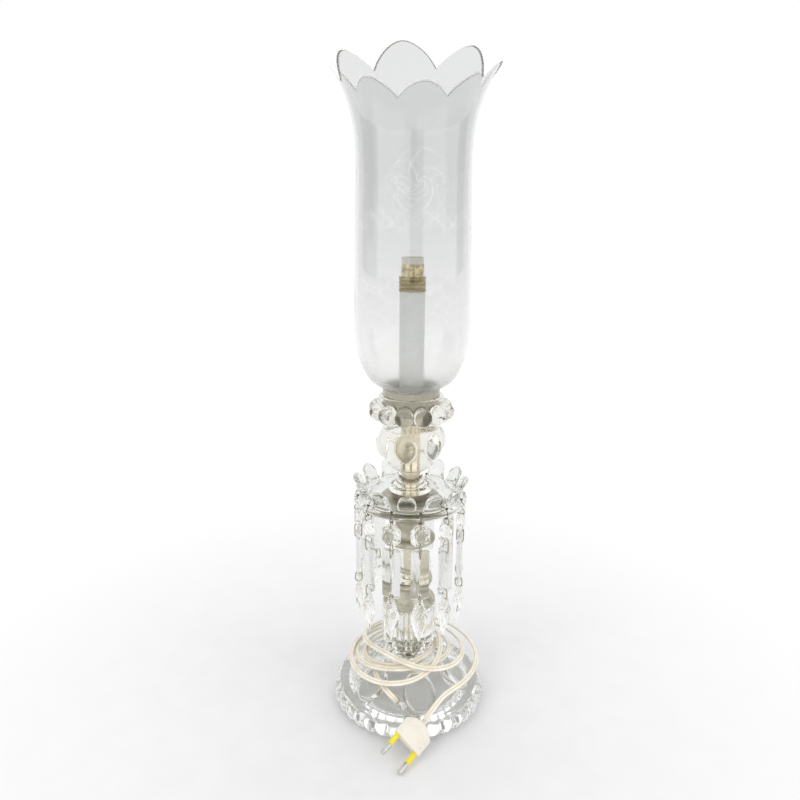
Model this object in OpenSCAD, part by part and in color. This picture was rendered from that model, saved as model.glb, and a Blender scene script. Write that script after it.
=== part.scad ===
// Table lamp in moulded and cut clear glass: beaded foot, fluted baluster, brass column pieces,
// a petalled drip dish hung with twelve crystal chains, a candle cup and a tall petal-rimmed shade.
// Millimetres, +Z up, origin on the stem's axis at the surface that the foot stands on.
// Angles round the stem start at -Y, the front, and grow towards +X.

/* [Foot] */
// Radius over the beads of the rim
foot_r = 65; // [60:0.5:72]
// Height of the flat seat under the baluster
foot_h = 48; // [44:0.5:54]
// Radius of that seat
foot_seat_r = 14; // [12:0.5:16]
// Radius at which the sloping dome meets the step inside the rim
dome_r = 54; // [50:0.5:55]
// Height of the dome's edge
dome_edge_h = 19; // [17.5:0.5:20]
// Height of the beaded rim
rim_h = 16; // [13:0.5:17]
// Number of beads round the rim
bead_count = 36; // [30:2:42]
// Number of raised ovals on the dome
oval_count = 6; // [4:1:7]
// Width of a raised oval
oval_w = 22; // [16:0.5:24]
// Length of a raised oval down the slope
oval_l = 28; // [25:0.5:30]
// Height by which an oval stands proud
oval_h = 1.6; // [1:0.1:1.9]
// Radius of the circle on which the ovals lie
oval_ring_r = 41; // [38:0.5:42]
// Thickness of the glass of the dome
foot_wall = 8; // [6.5:0.5:9]
// Radius of the hollow under the foot
hollow_r = 46; // [42:0.5:48]
// Radius of the drilled hole for the cord
cord_hole_r = 2.9; // [2.8:0.1:3.5]

/* [Stem] */
// Radius of the threaded tube that clamps the lamp together
rod_r = 5; // [4.5:0.1:6]
// Radius of the tube's bore
rod_bore_r = 4; // [3:0.1:4]
// Clearance between the tube and the pieces strung on it
stem_gap = 0.25; // [0.1:0.05:0.5]
// Height of the glass baluster
baluster_h = 43; // [38:0.5:50]
// Largest radius of the baluster
baluster_r = 23; // [20:0.5:24]
// Number of flutes round the baluster
flute_count = 12; // [8:1:14]
// Depth of a flute
flute_depth = 1.5; // [0.5:0.1:2]
// Height of the brass column cap
cap_h = 22; // [19:0.5:26]
// Radius of the cap's foot
cap_r = 22; // [20:0.5:24]
// Radius of the cap's waist
cap_waist_r = 17; // [15:0.5:18]
// Height of the glass spool
spool_h = 35; // [30:0.5:40]
// Radius of the spool's ends
spool_r = 16.5; // [15:0.5:18]
// Radius of the spool's waist
spool_waist_r = 13.5; // [11:0.5:14]
// Height of the brass dish carrier
carrier_h = 33; // [29:0.5:37]
// Radius of the carrier's foot
carrier_r = 21; // [19:0.5:23]
// Radius of the carrier's waist
carrier_waist_r = 12; // [10:0.5:14]
// Radius of the carrier's flared top
carrier_top_r = 24; // [21:0.5:26]

/* [Drip dish] */
// Radius of the dish's plate
dish_r = 46; // [45:0.25:48]
// Thickness of the plate in the middle
dish_t = 8; // [7:0.25:10]
// Rise of the plate's underside at its edge
dish_lift = 3; // [2:0.25:4]
// Number of petals
petal_count = 12; // [10:1:13]
// Turn of the first petal from the front
petal_turn = -3.5; // [-15:0.5:15]
// Width of a petal
petal_w = 14.6; // [12:0.2:16]
// Thickness of a petal
petal_t = 4.6; // [3.5:0.1:5]
// Height of the petal tips over the plate's underside
petal_h = 23; // [20:0.5:27]
// Lean of the petals, out at their tips
petal_lean = 7; // [4:0.5:8]

/* [Hanging crystals] */
// Number of chains
chain_count = 12; // [12:1:12]
// Radius of the circle on which they hang
chain_r = 43; // [42:0.25:43]
// Turn of the first chain from the front
chain_turn = 10.8; // [8:0.1:14]
// Radius of the brass wire
wire_r = 0.42; // [0.35:0.01:0.45]
// Radius of the round ends of a wire link
link_r = 2.8; // [2.7:0.05:3]
// Radius of the holes drilled in the crystals
drill_r = 1.15; // [1.1:0.05:1.25]
// Width of an octagon bead
bead_w = 15; // [12:0.25:16]
// Height of an octagon bead
bead_h = 18; // [17:0.25:20]
// Thickness of an octagon bead
bead_t = 6.4; // [5:0.1:7]
// Width of a flat prism
prism_w = 14.5; // [12:0.25:16]
// Height of a flat prism
prism_h = 41.8; // [36:0.2:46]
// Thickness of a flat prism at its ridge
prism_t = 4; // [3.4:0.1:4.2]
// Width of a pointed drop
drop_w = 14.5; // [12:0.25:16]
// Height of a pointed drop
drop_h = 37.3; // [33:0.2:39]
// Thickness of a pointed drop
drop_t = 8; // [6:0.1:9]
// Gap between a bead and the prism under it
bead_gap = 2.7; // [2:0.1:4]
// Gap between a prism and the drop under it
drop_gap = 1.4; // [1.2:0.1:3]

/* [Candle cup] */
// Thickness of the washer between dish and cup
washer_t = 3; // [2:0.25:4]
// Radius of that washer
washer_r = 15; // [12:0.5:16]
// Height of the glass cup
cup_h = 79.6; // [76:0.2:84]
// Radius of the cup's bell foot
cup_foot_r = 17.6; // [16:0.2:19]
// Radius of the cup's neck
cup_neck_r = 9.4; // [9:0.2:10.4]
// Radius of the cup's body
cup_r = 23.4; // [22:0.2:24]
// Radius of the cup's mouth
cup_mouth_r = 25.4; // [24.6:0.2:27]
// Number of oval cabochons round the body
cabochon_count = 6; // [4:1:6]
// Width of a cabochon
cabochon_w = 18; // [14:0.5:19]
// Height of a cabochon
cabochon_h = 23; // [20:0.5:24]
// Number of knobs round the collar
knob_count = 12; // [10:1:13]
// Radius of a knob
knob_r = 6.5; // [5.5:0.1:6.5]

/* [Shade] */
// Outer radius of the metal gallery ring
gallery_r = 22.4; // [21.8:0.1:22.8]
// Wall of the gallery ring
gallery_wall = 1.1; // [0.8:0.1:1.3]
// Height by which the gallery stands over the cup
gallery_rise = 6.4; // [5:0.2:8]
// Depth of the gallery in the cup
gallery_sink = 19; // [14:0.5:20]
// Height of the shade over its seat
shade_h = 240; // [220:1:260]
// Thickness of the shade's glass
shade_wall = 2; // [1.5:0.1:2.2]
// Clearance of the shade's neck in the gallery
shade_gap = 0.3; // [0.2:0.05:0.5]
// Radius of the shade's belly
belly_r = 43.6; // [40:0.2:46]
// Radius of the shade's waist under its flare
waist_r = 41.7; // [39:0.2:43]
// Radius at the petal tips
tip_r = 61.2; // [58:0.2:66]
// Number of petals of the rim
scallop_count = 8; // [8:1:9]
// Turn of the first petal from the front
scallop_turn = -7.5; // [-20:0.5:20]

/* [Lampholder] */
// Outer radius of the candle tube
candle_r = 9.7; // [9.2:0.1:10.4]
// Wall of the candle tube
candle_wall = 1.1; // [0.8:0.1:1.1]
// Height of the candle tube
candle_h = 82; // [70:1:95]
// Radius of the grooved brass ring under the shell
holder_r = 10.3; // [10:0.1:11]
// Height of the grooved ring
holder_h = 11; // [9:0.5:13]
// Outer radius of the brass shell
shell_r = 8.6; // [8.5:0.1:8.8]
// Height of the shell over the grooved ring
shell_h = 9; // [7:0.5:11]
// Height of the insulator over the shell
collar_h = 5; // [3:0.5:6]
// Radius inside the lamp's thread sleeve
socket_r = 6.6; // [6.4:0.05:6.7]

/* [Cord and plug] */
// Width of the flat cord
cord_w = 4.4; // [4:0.1:4.6]
// Thickness of the flat cord
cord_t = 2.3; // [2:0.1:2.5]
// Width of the plug's body
plug_w = 25.4; // [24:0.2:27]
// Length of the plug's body along its middle
plug_l = 20; // [18:0.5:20]
// Thickness of the plug's body
plug_t = 8.2; // [7:0.2:8.6]
// Radius of a plug pin
pin_r = 2; // [1.9:0.05:2.4]
// Length of a plug pin
pin_l = 19; // [18:0.5:19]
// Distance between the plug's pins
pin_pitch = 18.6; // [17:0.2:19]

/* [Hidden] */
$fn = 48;
pad = function(i) i < 10 ? str("0", i) : str(i);
chains = [for (i = [1:chain_count]) i];

// heights of the pieces stacked on the stem
baluster_z = foot_h;
cap_z = baluster_z + baluster_h;
spool_z = cap_z + cap_h;
carrier_z = spool_z + spool_h;
dish_z = carrier_z + carrier_h;
washer_z = dish_z + dish_t;
cup_z = washer_z + washer_t;
cup_top = cup_z + cup_h;
seat_t = 2;
seat_z = cup_top - seat_t + 0.4;
gallery_z = cup_top - gallery_sink;
ring_top = cup_top + gallery_rise;
holder_z = seat_z + candle_h;
shell_z = holder_z + holder_h;
collar_z = shell_z + shell_h;
holder_top = collar_z + collar_h;

// rod, fasteners and lampholder inside
rod_hole_r = rod_r + stem_gap;
thread_gap = 0.05;
nut_w = 14;
nut_h = 5;
foot_washer_r = 12;
foot_washer_t = 2;
hollow_top = foot_h - 12;
rod_z = hollow_top - foot_washer_t - nut_h - 2;
holder_floor = 3;
rod_top = holder_z + holder_floor;
shell_wall = 0.7;
sleeve_wall = 0.4;
insulator_floor = 3;
contact_r = 1.6;
contact_h = 1.6;

// slope of the dome and the hole drilled through it
dome_slope = (foot_h - dome_edge_h) / (dome_r - foot_seat_r);
slope_angle = atan(dome_slope);
function dome_z(r) = foot_h - max(0, r - foot_seat_r) * dome_slope;
hole_ring_r = 46;
hole_turn = -12.5;
hole_tilt = 30;
hole_heading = 207;
hole_mouth = [hole_ring_r * sin(hole_turn), -hole_ring_r * cos(hole_turn), dome_z(hole_ring_r)];
hole_dir = [sin(hole_tilt) * cos(hole_heading), sin(hole_tilt) * sin(hole_heading), cos(hole_tilt)];

// heights along a chain, from the dish down
pin_wire_r = 0.4;
eye_r = 1.3;
drill_edge = 3;
prism_drill = 6.3;
prism_low_drill = 3.2;
drop_drill = 3.5;
edge_t = 1.4;
drop_neck_t = 3.5;
dish_under = dish_z + dish_lift;
eye_z = dish_under - eye_r - pin_wire_r - 0.05;
function sag(t) = link_r - sqrt(link_r * link_r - t * t / 4);
bead_drill_t = 4;
ring_z = eye_z - eye_r + pin_wire_r + wire_r + 0.1 - link_r;
bead_top = ring_z - link_r + sag(bead_drill_t) / 2 + drill_edge;
bead_low_drill_z = bead_top - bead_h + drill_edge;
bead_link_z = bead_low_drill_z + sag(bead_drill_t) / 2 - link_r;
prism_top = bead_top - bead_h - bead_gap;
prism_drill_z = prism_top - prism_drill;
prism_low_z = prism_top - prism_h + prism_low_drill;
prism_link_z = prism_low_z + sag(prism_t) / 2 - link_r;
drop_top = prism_top - prism_h - drop_gap;
drop_drill_z = drop_top - drop_drill;

// the shade's neck stands on the gallery's seat
shade_z = seat_z;
neck_r = gallery_r - gallery_wall - shade_gap;
shade_top = shade_z + shade_h;

// where the plug lies against the rim, and how it is turned
plug_at = [-1.1, -78, 13.1];
plug_turn = [19, 36, -29];

// the winding: turns, its start, its climb, and each loop's mean radius, offset and way it lies off
winding_turns = 4.35;
winding_start = -60;
winding_climb = 3.6;
winding_lay = 3.1;
winding_phase = 0.8;
loop_radii = [30, 40, 38, 42, 46];
loop_offsets = [8.5, 9.5, 11.5, 12.5, 9];
loop_ways = [-125, -160, -70, -225, -150];
rings_per_loop = 24;

// points of the lead from the drilled hole to the winding's first end, chosen by hand
lead_points = [
    [-14.8, -44.8, 30.8], [-19, -39.8, 32.4], [-23.8, -32.6, 33.6], [-27.2, -26, 35.2]
];

// points of the tail from the winding's last end to the plug, chosen by hand
tail_points = [
    [24, 43, 44], [37, 40, 40.5], [49, 32, 37], [57, 20, 34.5], [60, 7, 32.5], [58, -6, 30.5],
    [52, -17, 28.5], [44, -26.5, 27.6], [36, -34, 27.4], [29, -41, 27], [23.5, -48, 25.5],
    [19, -54, 23.5], [15, -58.5, 21]
];

// Blend between the entries of a list at a fractional place in it.
function ease(f) = f * f * (3 - 2 * f);
function blend(list, u) =
    let (v = max(0, min(u, len(list) - 1.001)), k = floor(v), f = ease(v - k))
    list[k] * (1 - f) + list[k + 1] * f;

// Middle of the winding after u turns.
function winding_point(u) =
    let (
        a = winding_start - 360 * u,
        v = u - winding_phase,
        r = blend(loop_radii, v) + blend(loop_offsets, v) * cos(a - blend(loop_ways, v))
    )
    [r * sin(a), -r * cos(a), dome_z(r) + winding_lay + winding_climb * u];

// Unit vector, and the way that a flat cord's broad side faces where it lies on the dome.
function unit(v) = v / norm(v);
function facing(p) = unit([p.x * sin(slope_angle) / norm([p.x, p.y]),
                           p.y * sin(slope_angle) / norm([p.x, p.y]), cos(slope_angle)]);

// Catmull-Rom point between b and c.
function spline_point(a, b, c, d, t) =
    0.5 * (2 * b + (c - a) * t + (2 * a - 5 * b + 4 * c - d) * t * t
           + (3 * b - a - 3 * c + d) * t * t * t);
function smooth(p, n) =
    let (last = len(p) - 1)
    concat([for (i = [0:last - 1], k = [0:n - 1])
        spline_point(p[max(0, i - 1)], p[i], p[i + 1], p[min(last, i + 2)], k / n)], [p[last]]);

// One closed tube of flat section along a path; ways gives the side that the broad face looks to.
function tangent(path, i) =
    let (last = len(path) - 1)
    unit(path[min(last, i + 1)] - path[max(0, i - 1)]);
function ring_points(path, ways, i, sides) =
    let (
        t = tangent(path, i),
        n = unit(ways[i] - (ways[i] * t) * t),
        b = cross(t, n)
    )
    [for (k = [0:sides - 1]) let (a = 360 * (k + 0.5) / sides)
        path[i] + b * cord_w / 2 * cos(a) + n * cord_t / 2 * sin(a)];

module cord_tube(path, ways, sides) {
    rings = len(path);
    points = [for (i = [0:rings - 1]) each ring_points(path, ways, i, sides)];
    walls = [for (i = [0:rings - 2], k = [0:sides - 1]) let (m = (k + 1) % sides)
        each [[i * sides + k, (i + 1) * sides + k, (i + 1) * sides + m],
              [i * sides + k, (i + 1) * sides + m, i * sides + m]]];
    first = [for (k = [0:sides - 1]) k];
    last = [for (k = [sides - 1:-1:0]) (rings - 1) * sides + k];
    polyhedron(points, concat(walls, [first, last]));
}

// Ways round the stem.
module turned(a) {
    rotate([0, 0, a]) children();
}

module ring_of(count, start, r) {
    for (i = [0:count - 1]) turned(start + 360 * i / count) translate([0, -r, 0]) children();
}

// A disc or collar on the stem's axis.
module washer(r, h, bore) {
    difference() {
        cylinder(r = r, h = h);
        translate([0, 0, -1]) cylinder(r = bore, h = h + 2);
    }
}

// Points of a bulge of half height h and half width w, from its top to its bottom.
function bulge(w, h, n) = [for (i = [0:n]) let (a = 90 - 180 * i / n) [w * cos(a), h * sin(a)]];

// Raised oval: a slice off a long egg that lies under the slope, with its flat side in the glass.
module oval_boss() {
    root = 3;
    fall = oval_w * oval_w * sin(slope_angle) / (8 * oval_ring_r);
    r = oval_w * oval_w / (8 * (oval_h + fall));
    half_l = oval_l / 2 / sqrt(1 - pow(1 - oval_h / r, 2));
    translate([0, -oval_ring_r, dome_z(oval_ring_r)])
        rotate([slope_angle, 0, 0])
            intersection() {
                translate([0, 0, oval_h - r]) rotate([90, 0, 0])
                    rotate_extrude() polygon(bulge(r, half_l, 24));
                translate([0, 0, -root]) cylinder(r = oval_l, h = root + oval_h + 1);
            }
}

module foot() {
    bead_r = rim_h / 2 - 0.5;
    core_r = foot_r - 4.5;
    crease_r = dome_r + 5;
    hollow_slope_top = foot_h - foot_wall / cos(slope_angle);
    color([0.86, 0.9, 0.9, 0.45])
    difference() {
        union() {
            rotate_extrude()
                polygon([
                    [0, 0], [core_r - 2.5, 0], [core_r, 2.5], [core_r, rim_h - 2],
                    [crease_r, rim_h + 0.8], [dome_r, dome_edge_h], [foot_seat_r, foot_h], [0, foot_h]
                ]);
            ring_of(bead_count, 0, foot_r - bead_r) translate([0, 0, rim_h / 2]) sphere(r = bead_r);
            for (i = [0:oval_count - 1]) turned(12.7 + 360 * i / oval_count) oval_boss();
        }
        translate([0, 0, -1]) rotate_extrude()
            polygon([
                [0, 0], [hollow_r, 0],
                [hollow_r, hollow_slope_top - (hollow_r - foot_seat_r) * dome_slope + 1],
                [(hollow_slope_top - hollow_top) / dome_slope + foot_seat_r, hollow_top + 1],
                [0, hollow_top + 1]
            ]);
        cylinder(r = rod_hole_r, h = foot_h + 1);
        translate(hole_mouth - 14 * hole_dir)
            rotate([0, hole_tilt, hole_heading]) cylinder(r = cord_hole_r, h = 30);
    }
}

module baluster() {
    round_h = 9;
    neck = foot_seat_r - 1;
    groove_r = 4;
    color([0.88, 0.91, 0.91, 0.45])
    translate([0, 0, baluster_z])
    difference() {
        rotate_extrude()
            polygon(concat(
                [[rod_hole_r, 0], [neck, 0]],
                [for (i = [0:6]) let (a = 15 * i)
                    [neck + (baluster_r - neck) * sin(a), 1 + round_h * (1 - cos(a))]],
                [[baluster_r, baluster_h - 2], [baluster_r - 2, baluster_h], [rod_hole_r, baluster_h]]
            ));
        ring_of(flute_count, 0, baluster_r + groove_r - flute_depth)
            translate([0, 0, round_h]) {
                cylinder(r = groove_r, h = baluster_h);
                sphere(r = groove_r);
            }
    }
}

module column_cap() {
    recess = cap_h - 4;
    color([0.6, 0.5, 0.3])
    translate([0, 0, cap_z])
    difference() {
        rotate_extrude()
            polygon([
                [rod_hole_r, 0], [cap_r, 0], [cap_r, 2.2], [cap_r - 1.2, 3.4], [cap_r - 1.8, 4.4],
                [cap_waist_r + 1, 6.5], [cap_waist_r, 9], [cap_waist_r, cap_h - 8],
                [cap_waist_r + 0.6, cap_h - 5], [cap_waist_r + 2.4, cap_h - 2.4],
                [cap_waist_r + 2.4, cap_h], [rod_hole_r, cap_h]
            ]);
        translate([0, 0, -1]) cylinder(r = cap_waist_r - 2, h = recess + 1);
    }
}

module stem_spool() {
    color([0.88, 0.91, 0.91, 0.45])
    translate([0, 0, spool_z])
    rotate_extrude()
        polygon(concat(
            [[rod_hole_r, 0], [spool_r - 0.8, 0], [spool_r, 0.8], [spool_r, 3.2]],
            [for (i = [0:10]) let (z = 4 + (spool_h - 8) * i / 10, w = (2 * i / 10 - 1))
                [spool_waist_r + (spool_r - 0.8 - spool_waist_r) * w * w, z]],
            [[spool_r, spool_h - 3.2], [spool_r, spool_h - 0.8], [spool_r - 0.8, spool_h],
             [rod_hole_r, spool_h]]
        ));
}

module dish_carrier() {
    waist_z = carrier_h * 0.42;
    color([0.6, 0.5, 0.3])
    translate([0, 0, carrier_z])
    rotate_extrude()
        polygon(concat(
            [[rod_hole_r, 0], [carrier_r - 0.6, 0], [carrier_r, 0.6], [carrier_r, 2.6],
             [carrier_r - 1.4, 4]],
            [for (i = [0:5]) let (a = 90 * i / 5)
                [carrier_waist_r + (carrier_r - 2.6 - carrier_waist_r) * (1 - sin(a)),
                 4.6 + (waist_z - 4.6) * (1 - cos(a))]],
            [for (i = [1:6]) let (f = i / 6)
                [carrier_waist_r + (carrier_top_r - carrier_waist_r) * f * f,
                 waist_z + (carrier_h - 2 - waist_z) * f]],
            [[carrier_top_r, carrier_h], [rod_hole_r, carrier_h]]
        ));
}

// Section of the ring that the petals are cut from, leaning out as it rises.
function petal_line(offset) = [for (i = [0:6]) let (f = i / 6)
    [dish_r - 6.2 - offset + petal_lean * f * f + 2 * f, dish_lift + 0.5 + (petal_h - dish_lift - 0.5) * f]];

// Upright tongue that cuts one petal out of the ring.
module petal_cutter() {
    tip = petal_w / 2;
    near = dish_r - 6.2 - petal_t - 4;
    far = dish_r + petal_lean + 4;
    translate([0, -near, 0]) rotate([90, 0, 0])
        linear_extrude(height = far - near)
            polygon(concat(
                [[-tip, 0], [tip, 0]],
                [for (i = [0:12]) [tip * cos(15 * i), petal_h - tip + tip * sin(15 * i)]]
            ));
}

module drip_dish() {
    inner = petal_line(petal_t);
    color([0.88, 0.92, 0.91, 0.5])
    translate([0, 0, dish_z])
    difference() {
        union() {
            rotate_extrude()
                polygon([
                    [0, 0], [carrier_top_r + 3, 0], [chain_r - 6, dish_lift], [dish_r, dish_lift],
                    [dish_r, dish_lift + 3.4], [dish_r - 1.6, dish_t - 0.6], [chain_r - 5, dish_t],
                    [0, dish_t]
                ]);
            for (i = [0:petal_count - 1])
                turned(petal_turn + 360 * i / petal_count)
                    intersection() {
                        rotate_extrude()
                            polygon(concat(petal_line(0), [for (k = [6:-1:0]) inner[k]]));
                        petal_cutter();
                    }
        }
        translate([0, 0, -1]) cylinder(r = rod_hole_r, h = dish_t + 2);
        ring_of(chain_count, chain_turn, chain_r)
            translate([0, 0, -1]) cylinder(r = pin_wire_r + 0.2, h = dish_t + 2);
    }
}

module dish_pins() {
    head_r = 1.2;
    head_t = 0.8;
    top = dish_z + dish_t;
    color([0.35, 0.3, 0.2])
    ring_of(chain_count, chain_turn, chain_r) {
        translate([0, 0, top]) cylinder(r = head_r, h = head_t);
        translate([0, 0, eye_z + eye_r]) cylinder(r = pin_wire_r, h = top - eye_z - eye_r + 0.4);
        translate([0, 0, eye_z]) rotate([90, 0, 0])
            rotate_extrude() translate([eye_r, 0]) circle(r = pin_wire_r);
    }
}

// Wire link in the plane through the stem: round ends about the centres top_z and low_z.
module wire_link(top_z, low_z) {
    color([0.35, 0.3, 0.2]) {
        if (top_z - low_z < 0.01) {
            translate([0, 0, top_z]) rotate([0, 90, 0])
                rotate_extrude() translate([link_r, 0]) circle(r = wire_r);
        } else {
            translate([0, 0, top_z]) rotate([90, 0, 90])
                rotate_extrude(angle = 180) translate([link_r, 0]) circle(r = wire_r);
            translate([0, 0, low_z]) rotate([90, 180, 90])
                rotate_extrude(angle = 180) translate([link_r, 0]) circle(r = wire_r);
            for (side = [-1, 1])
                translate([0, side * link_r, low_z]) cylinder(r = wire_r, h = top_z - low_z);
        }
    }
}

// Flat blank with the outline given in x and z, t thick along y.
module slab(outline, t) {
    rotate([90, 0, 0]) linear_extrude(height = t, center = true) polygon(outline);
}

module drill(z, t) {
    translate([0, 0, z]) rotate([90, 0, 0]) cylinder(r = drill_r, h = t + 2, center = true);
}

function octagon(w, h, cut) = [
    [-w / 2 + cut, h / 2], [w / 2 - cut, h / 2], [w / 2, h / 2 - cut], [w / 2, -h / 2 + cut],
    [w / 2 - cut, -h / 2], [-w / 2 + cut, -h / 2], [-w / 2, -h / 2 + cut], [-w / 2, h / 2 - cut]
];

module on_chain(i) {
    turned(chain_turn + 360 * (i - 1) / chain_count) translate([0, -chain_r, 0]) children();
}

module bead(i) {
    cut = bead_w * 0.29;
    on_chain(i) {
        color([0.9, 0.93, 0.93, 0.5])
        difference() {
            translate([0, 0, bead_top - bead_h / 2])
                hull() {
                    slab(octagon(bead_w, bead_h, cut), edge_t);
                    slab(octagon(bead_w * 0.42, bead_h * 0.42, cut * 0.42), bead_t);
                }
            drill(bead_top - drill_edge, bead_t);
            drill(bead_low_drill_z, bead_t);
        }
        wire_link(ring_z, ring_z);
    }
}

module prism(i) {
    cut = 1.2;
    ridge = prism_t / 2;
    mid_z = prism_top - prism_h / 2;
    on_chain(i) {
        color([0.9, 0.93, 0.93, 0.5])
        difference() {
            intersection() {
                translate([0, 0, prism_top - prism_h])
                    linear_extrude(height = prism_h)
                        polygon([
                            [-prism_w / 2, edge_t / 2], [-prism_w / 5, ridge * 0.8], [0, ridge],
                            [prism_w / 5, ridge * 0.8], [prism_w / 2, edge_t / 2],
                            [prism_w / 2, -edge_t / 2], [prism_w / 5, -ridge * 0.8], [0, -ridge],
                            [-prism_w / 5, -ridge * 0.8], [-prism_w / 2, -edge_t / 2]
                        ]);
                translate([0, 0, mid_z]) slab(octagon(prism_w, prism_h, cut), prism_t + 2);
            }
            drill(prism_drill_z, prism_t);
            drill(prism_low_z, prism_t);
        }
        wire_link(bead_link_z, prism_drill_z - sag(prism_t) / 2 + link_r);
    }
}

module drop(i) {
    shoulder = drop_h * 0.42;
    neck_w = 5.6;
    color_glass = [0.9, 0.93, 0.93, 0.5];
    on_chain(i) {
        color(color_glass)
        difference() {
            translate([0, 0, drop_top])
                hull() {
                    slab([
                        [-neck_w / 2, 0], [neck_w / 2, 0], [drop_w / 2, -shoulder],
                        [drop_w * 0.36, -drop_h * 0.66], [0, -drop_h],
                        [-drop_w * 0.36, -drop_h * 0.66], [-drop_w / 2, -shoulder]
                    ], edge_t);
                    slab([
                        [0, -drop_h * 0.3],
                        [drop_w * 0.22, -shoulder], [0, -drop_h * 0.72], [-drop_w * 0.22, -shoulder]
                    ], drop_t);
                }
            drill(drop_drill_z, drop_t);
        }
        wire_link(prism_link_z, drop_drill_z - sag(drop_neck_t) / 2 + link_r);
    }
}

module cup_washer() {
    color([0.25, 0.2, 0.17]) translate([0, 0, washer_z]) washer(washer_r, washer_t, rod_hole_r);
}

module candle_cup() {
    collar_z0 = cup_h - gallery_sink - 9.6;
    body_z = collar_z0 - 10;
    knob_z = cup_h - 11.4;
    cabochon_depth = 8;
    color([0.88, 0.91, 0.91, 0.45])
    translate([0, 0, cup_z])
    difference() {
        union() {
            rotate_extrude()
                polygon(concat(
                    [[0, 0], [cup_foot_r - 1.1, 0], [cup_foot_r, 0.9], [cup_foot_r - 1.1, 4]],
                    [for (i = [0:5]) let (a = 90 * i / 5)
                        [cup_neck_r + (cup_foot_r - 2.4 - cup_neck_r) * (1 - sin(a)),
                         4.6 + 10.4 * (1 - cos(a))]],
                    [[cup_neck_r, 18]],
                    [for (i = [1:7]) let (a = 90 * i / 7)
                        [cup_neck_r + (cup_r - cup_neck_r) * sin(a), 18 + (body_z - 18) * (1 - cos(a))]],
                    [[cup_r, collar_z0], [cup_r - 1.4, collar_z0 + 2], [cup_r - 0.4, collar_z0 + 6],
                     [cup_mouth_r, cup_h - 1], [cup_mouth_r - 0.6, cup_h], [0, cup_h]]
                ));
            ring_of(cabochon_count, -10, cup_r - 2.6)
                translate([0, 0, body_z + 0.4])
                    scale([1, cabochon_depth / cabochon_w * 2, cabochon_h / cabochon_w])
                        rotate([90, 0, 0]) sphere(r = cabochon_w / 2);
            ring_of(knob_count, -11, cup_mouth_r + 2.2)
                translate([0, 0, knob_z]) sphere(r = knob_r);
        }
        translate([0, 0, cup_h - gallery_sink]) cylinder(r = gallery_r + 0.1, h = gallery_sink + 1);
        translate([0, 0, -1]) cylinder(r = rod_hole_r, h = cup_h);
    }
}

module gallery() {
    inner = gallery_r - gallery_wall;
    color([0.6, 0.58, 0.52])
    difference() {
        union() {
            translate([0, 0, gallery_z]) cylinder(r = gallery_r, h = ring_top - gallery_z);
            translate([0, 0, ring_top - 1]) cylinder(r = gallery_r + 0.4, h = 1);
        }
        translate([0, 0, seat_z]) cylinder(r = inner, h = ring_top - seat_z + 1);
        translate([0, 0, gallery_z - 1]) cylinder(r = inner, h = seat_z - seat_t - gallery_z + 1);
        translate([0, 0, gallery_z - 1]) cylinder(r = rod_hole_r, h = ring_top - gallery_z);
    }
}

// Outer line of the shade, as heights over its seat from 0 to shade_h.
neck_h = ring_top - shade_z + shade_gap;
function belly_line() = [for (i = [0:7]) let (a = 90 * i / 7)
    [neck_r + 1.2 + (belly_r - neck_r - 1.2) * sin(a), neck_h + 0.8 + 47 * (1 - cos(a))]];
function flare_line() = [for (i = [0:8]) let (f = i / 8)
    [waist_r + (tip_r - waist_r) * pow(f, 2.6), shade_h - 70 + 70 * f]];
function shade_line() = concat(
    [[neck_r, 0], [neck_r, neck_h]], belly_line(), [[belly_r - 0.6, 110], [waist_r, shade_h - 80]], flare_line()
);
function inward(line) = [for (p = line) [p.x - shade_wall, p.y]];

module shade() {
    lobe_r = 23.2;
    lobe_z = shade_h - lobe_r;
    line = shade_line();
    inner = inward(line);
    color([0.93, 0.95, 0.95, 0.3])
    translate([0, 0, shade_z])
    intersection() {
        rotate_extrude() polygon(concat(line, [for (i = [len(inner) - 1:-1:0]) inner[i]]));
        union() {
            cylinder(r = tip_r + 5, h = lobe_z);
            for (i = [0:scallop_count - 1])
                turned(scallop_turn + 360 * i / scallop_count)
                    translate([0, 0, lobe_z]) rotate([90, 0, 0]) cylinder(r = lobe_r, h = tip_r + 5);
        }
    }
}

module candle_tube() {
    color([0.72, 0.76, 0.7, 0.7])
    translate([0, 0, seat_z]) washer(candle_r, candle_h, candle_r - candle_wall);
}

module holder_ring() {
    groove = 0.5;
    color([0.75, 0.62, 0.3])
    translate([0, 0, holder_z])
    difference() {
        cylinder(r = holder_r, h = holder_h);
        translate([0, 0, holder_floor]) cylinder(r = shell_r + thread_gap, h = holder_h);
        translate([0, 0, -1]) cylinder(r = rod_r + thread_gap, h = holder_floor + 2);
        for (z = [2.2, 5, 8]) translate([0, 0, z])
            rotate_extrude() translate([holder_r, 0]) circle(r = groove);
    }
}

module holder_shell() {
    length = holder_h - holder_floor + shell_h;
    color([0.78, 0.64, 0.3])
    translate([0, 0, holder_z + holder_floor])
    difference() {
        cylinder(r = shell_r, h = length);
        translate([0, 0, -1]) cylinder(r = shell_r - shell_wall, h = length + 2);
        translate([0, 0, length - 4]) rotate_extrude() translate([shell_r, 0]) circle(r = 0.35);
    }
}

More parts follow.
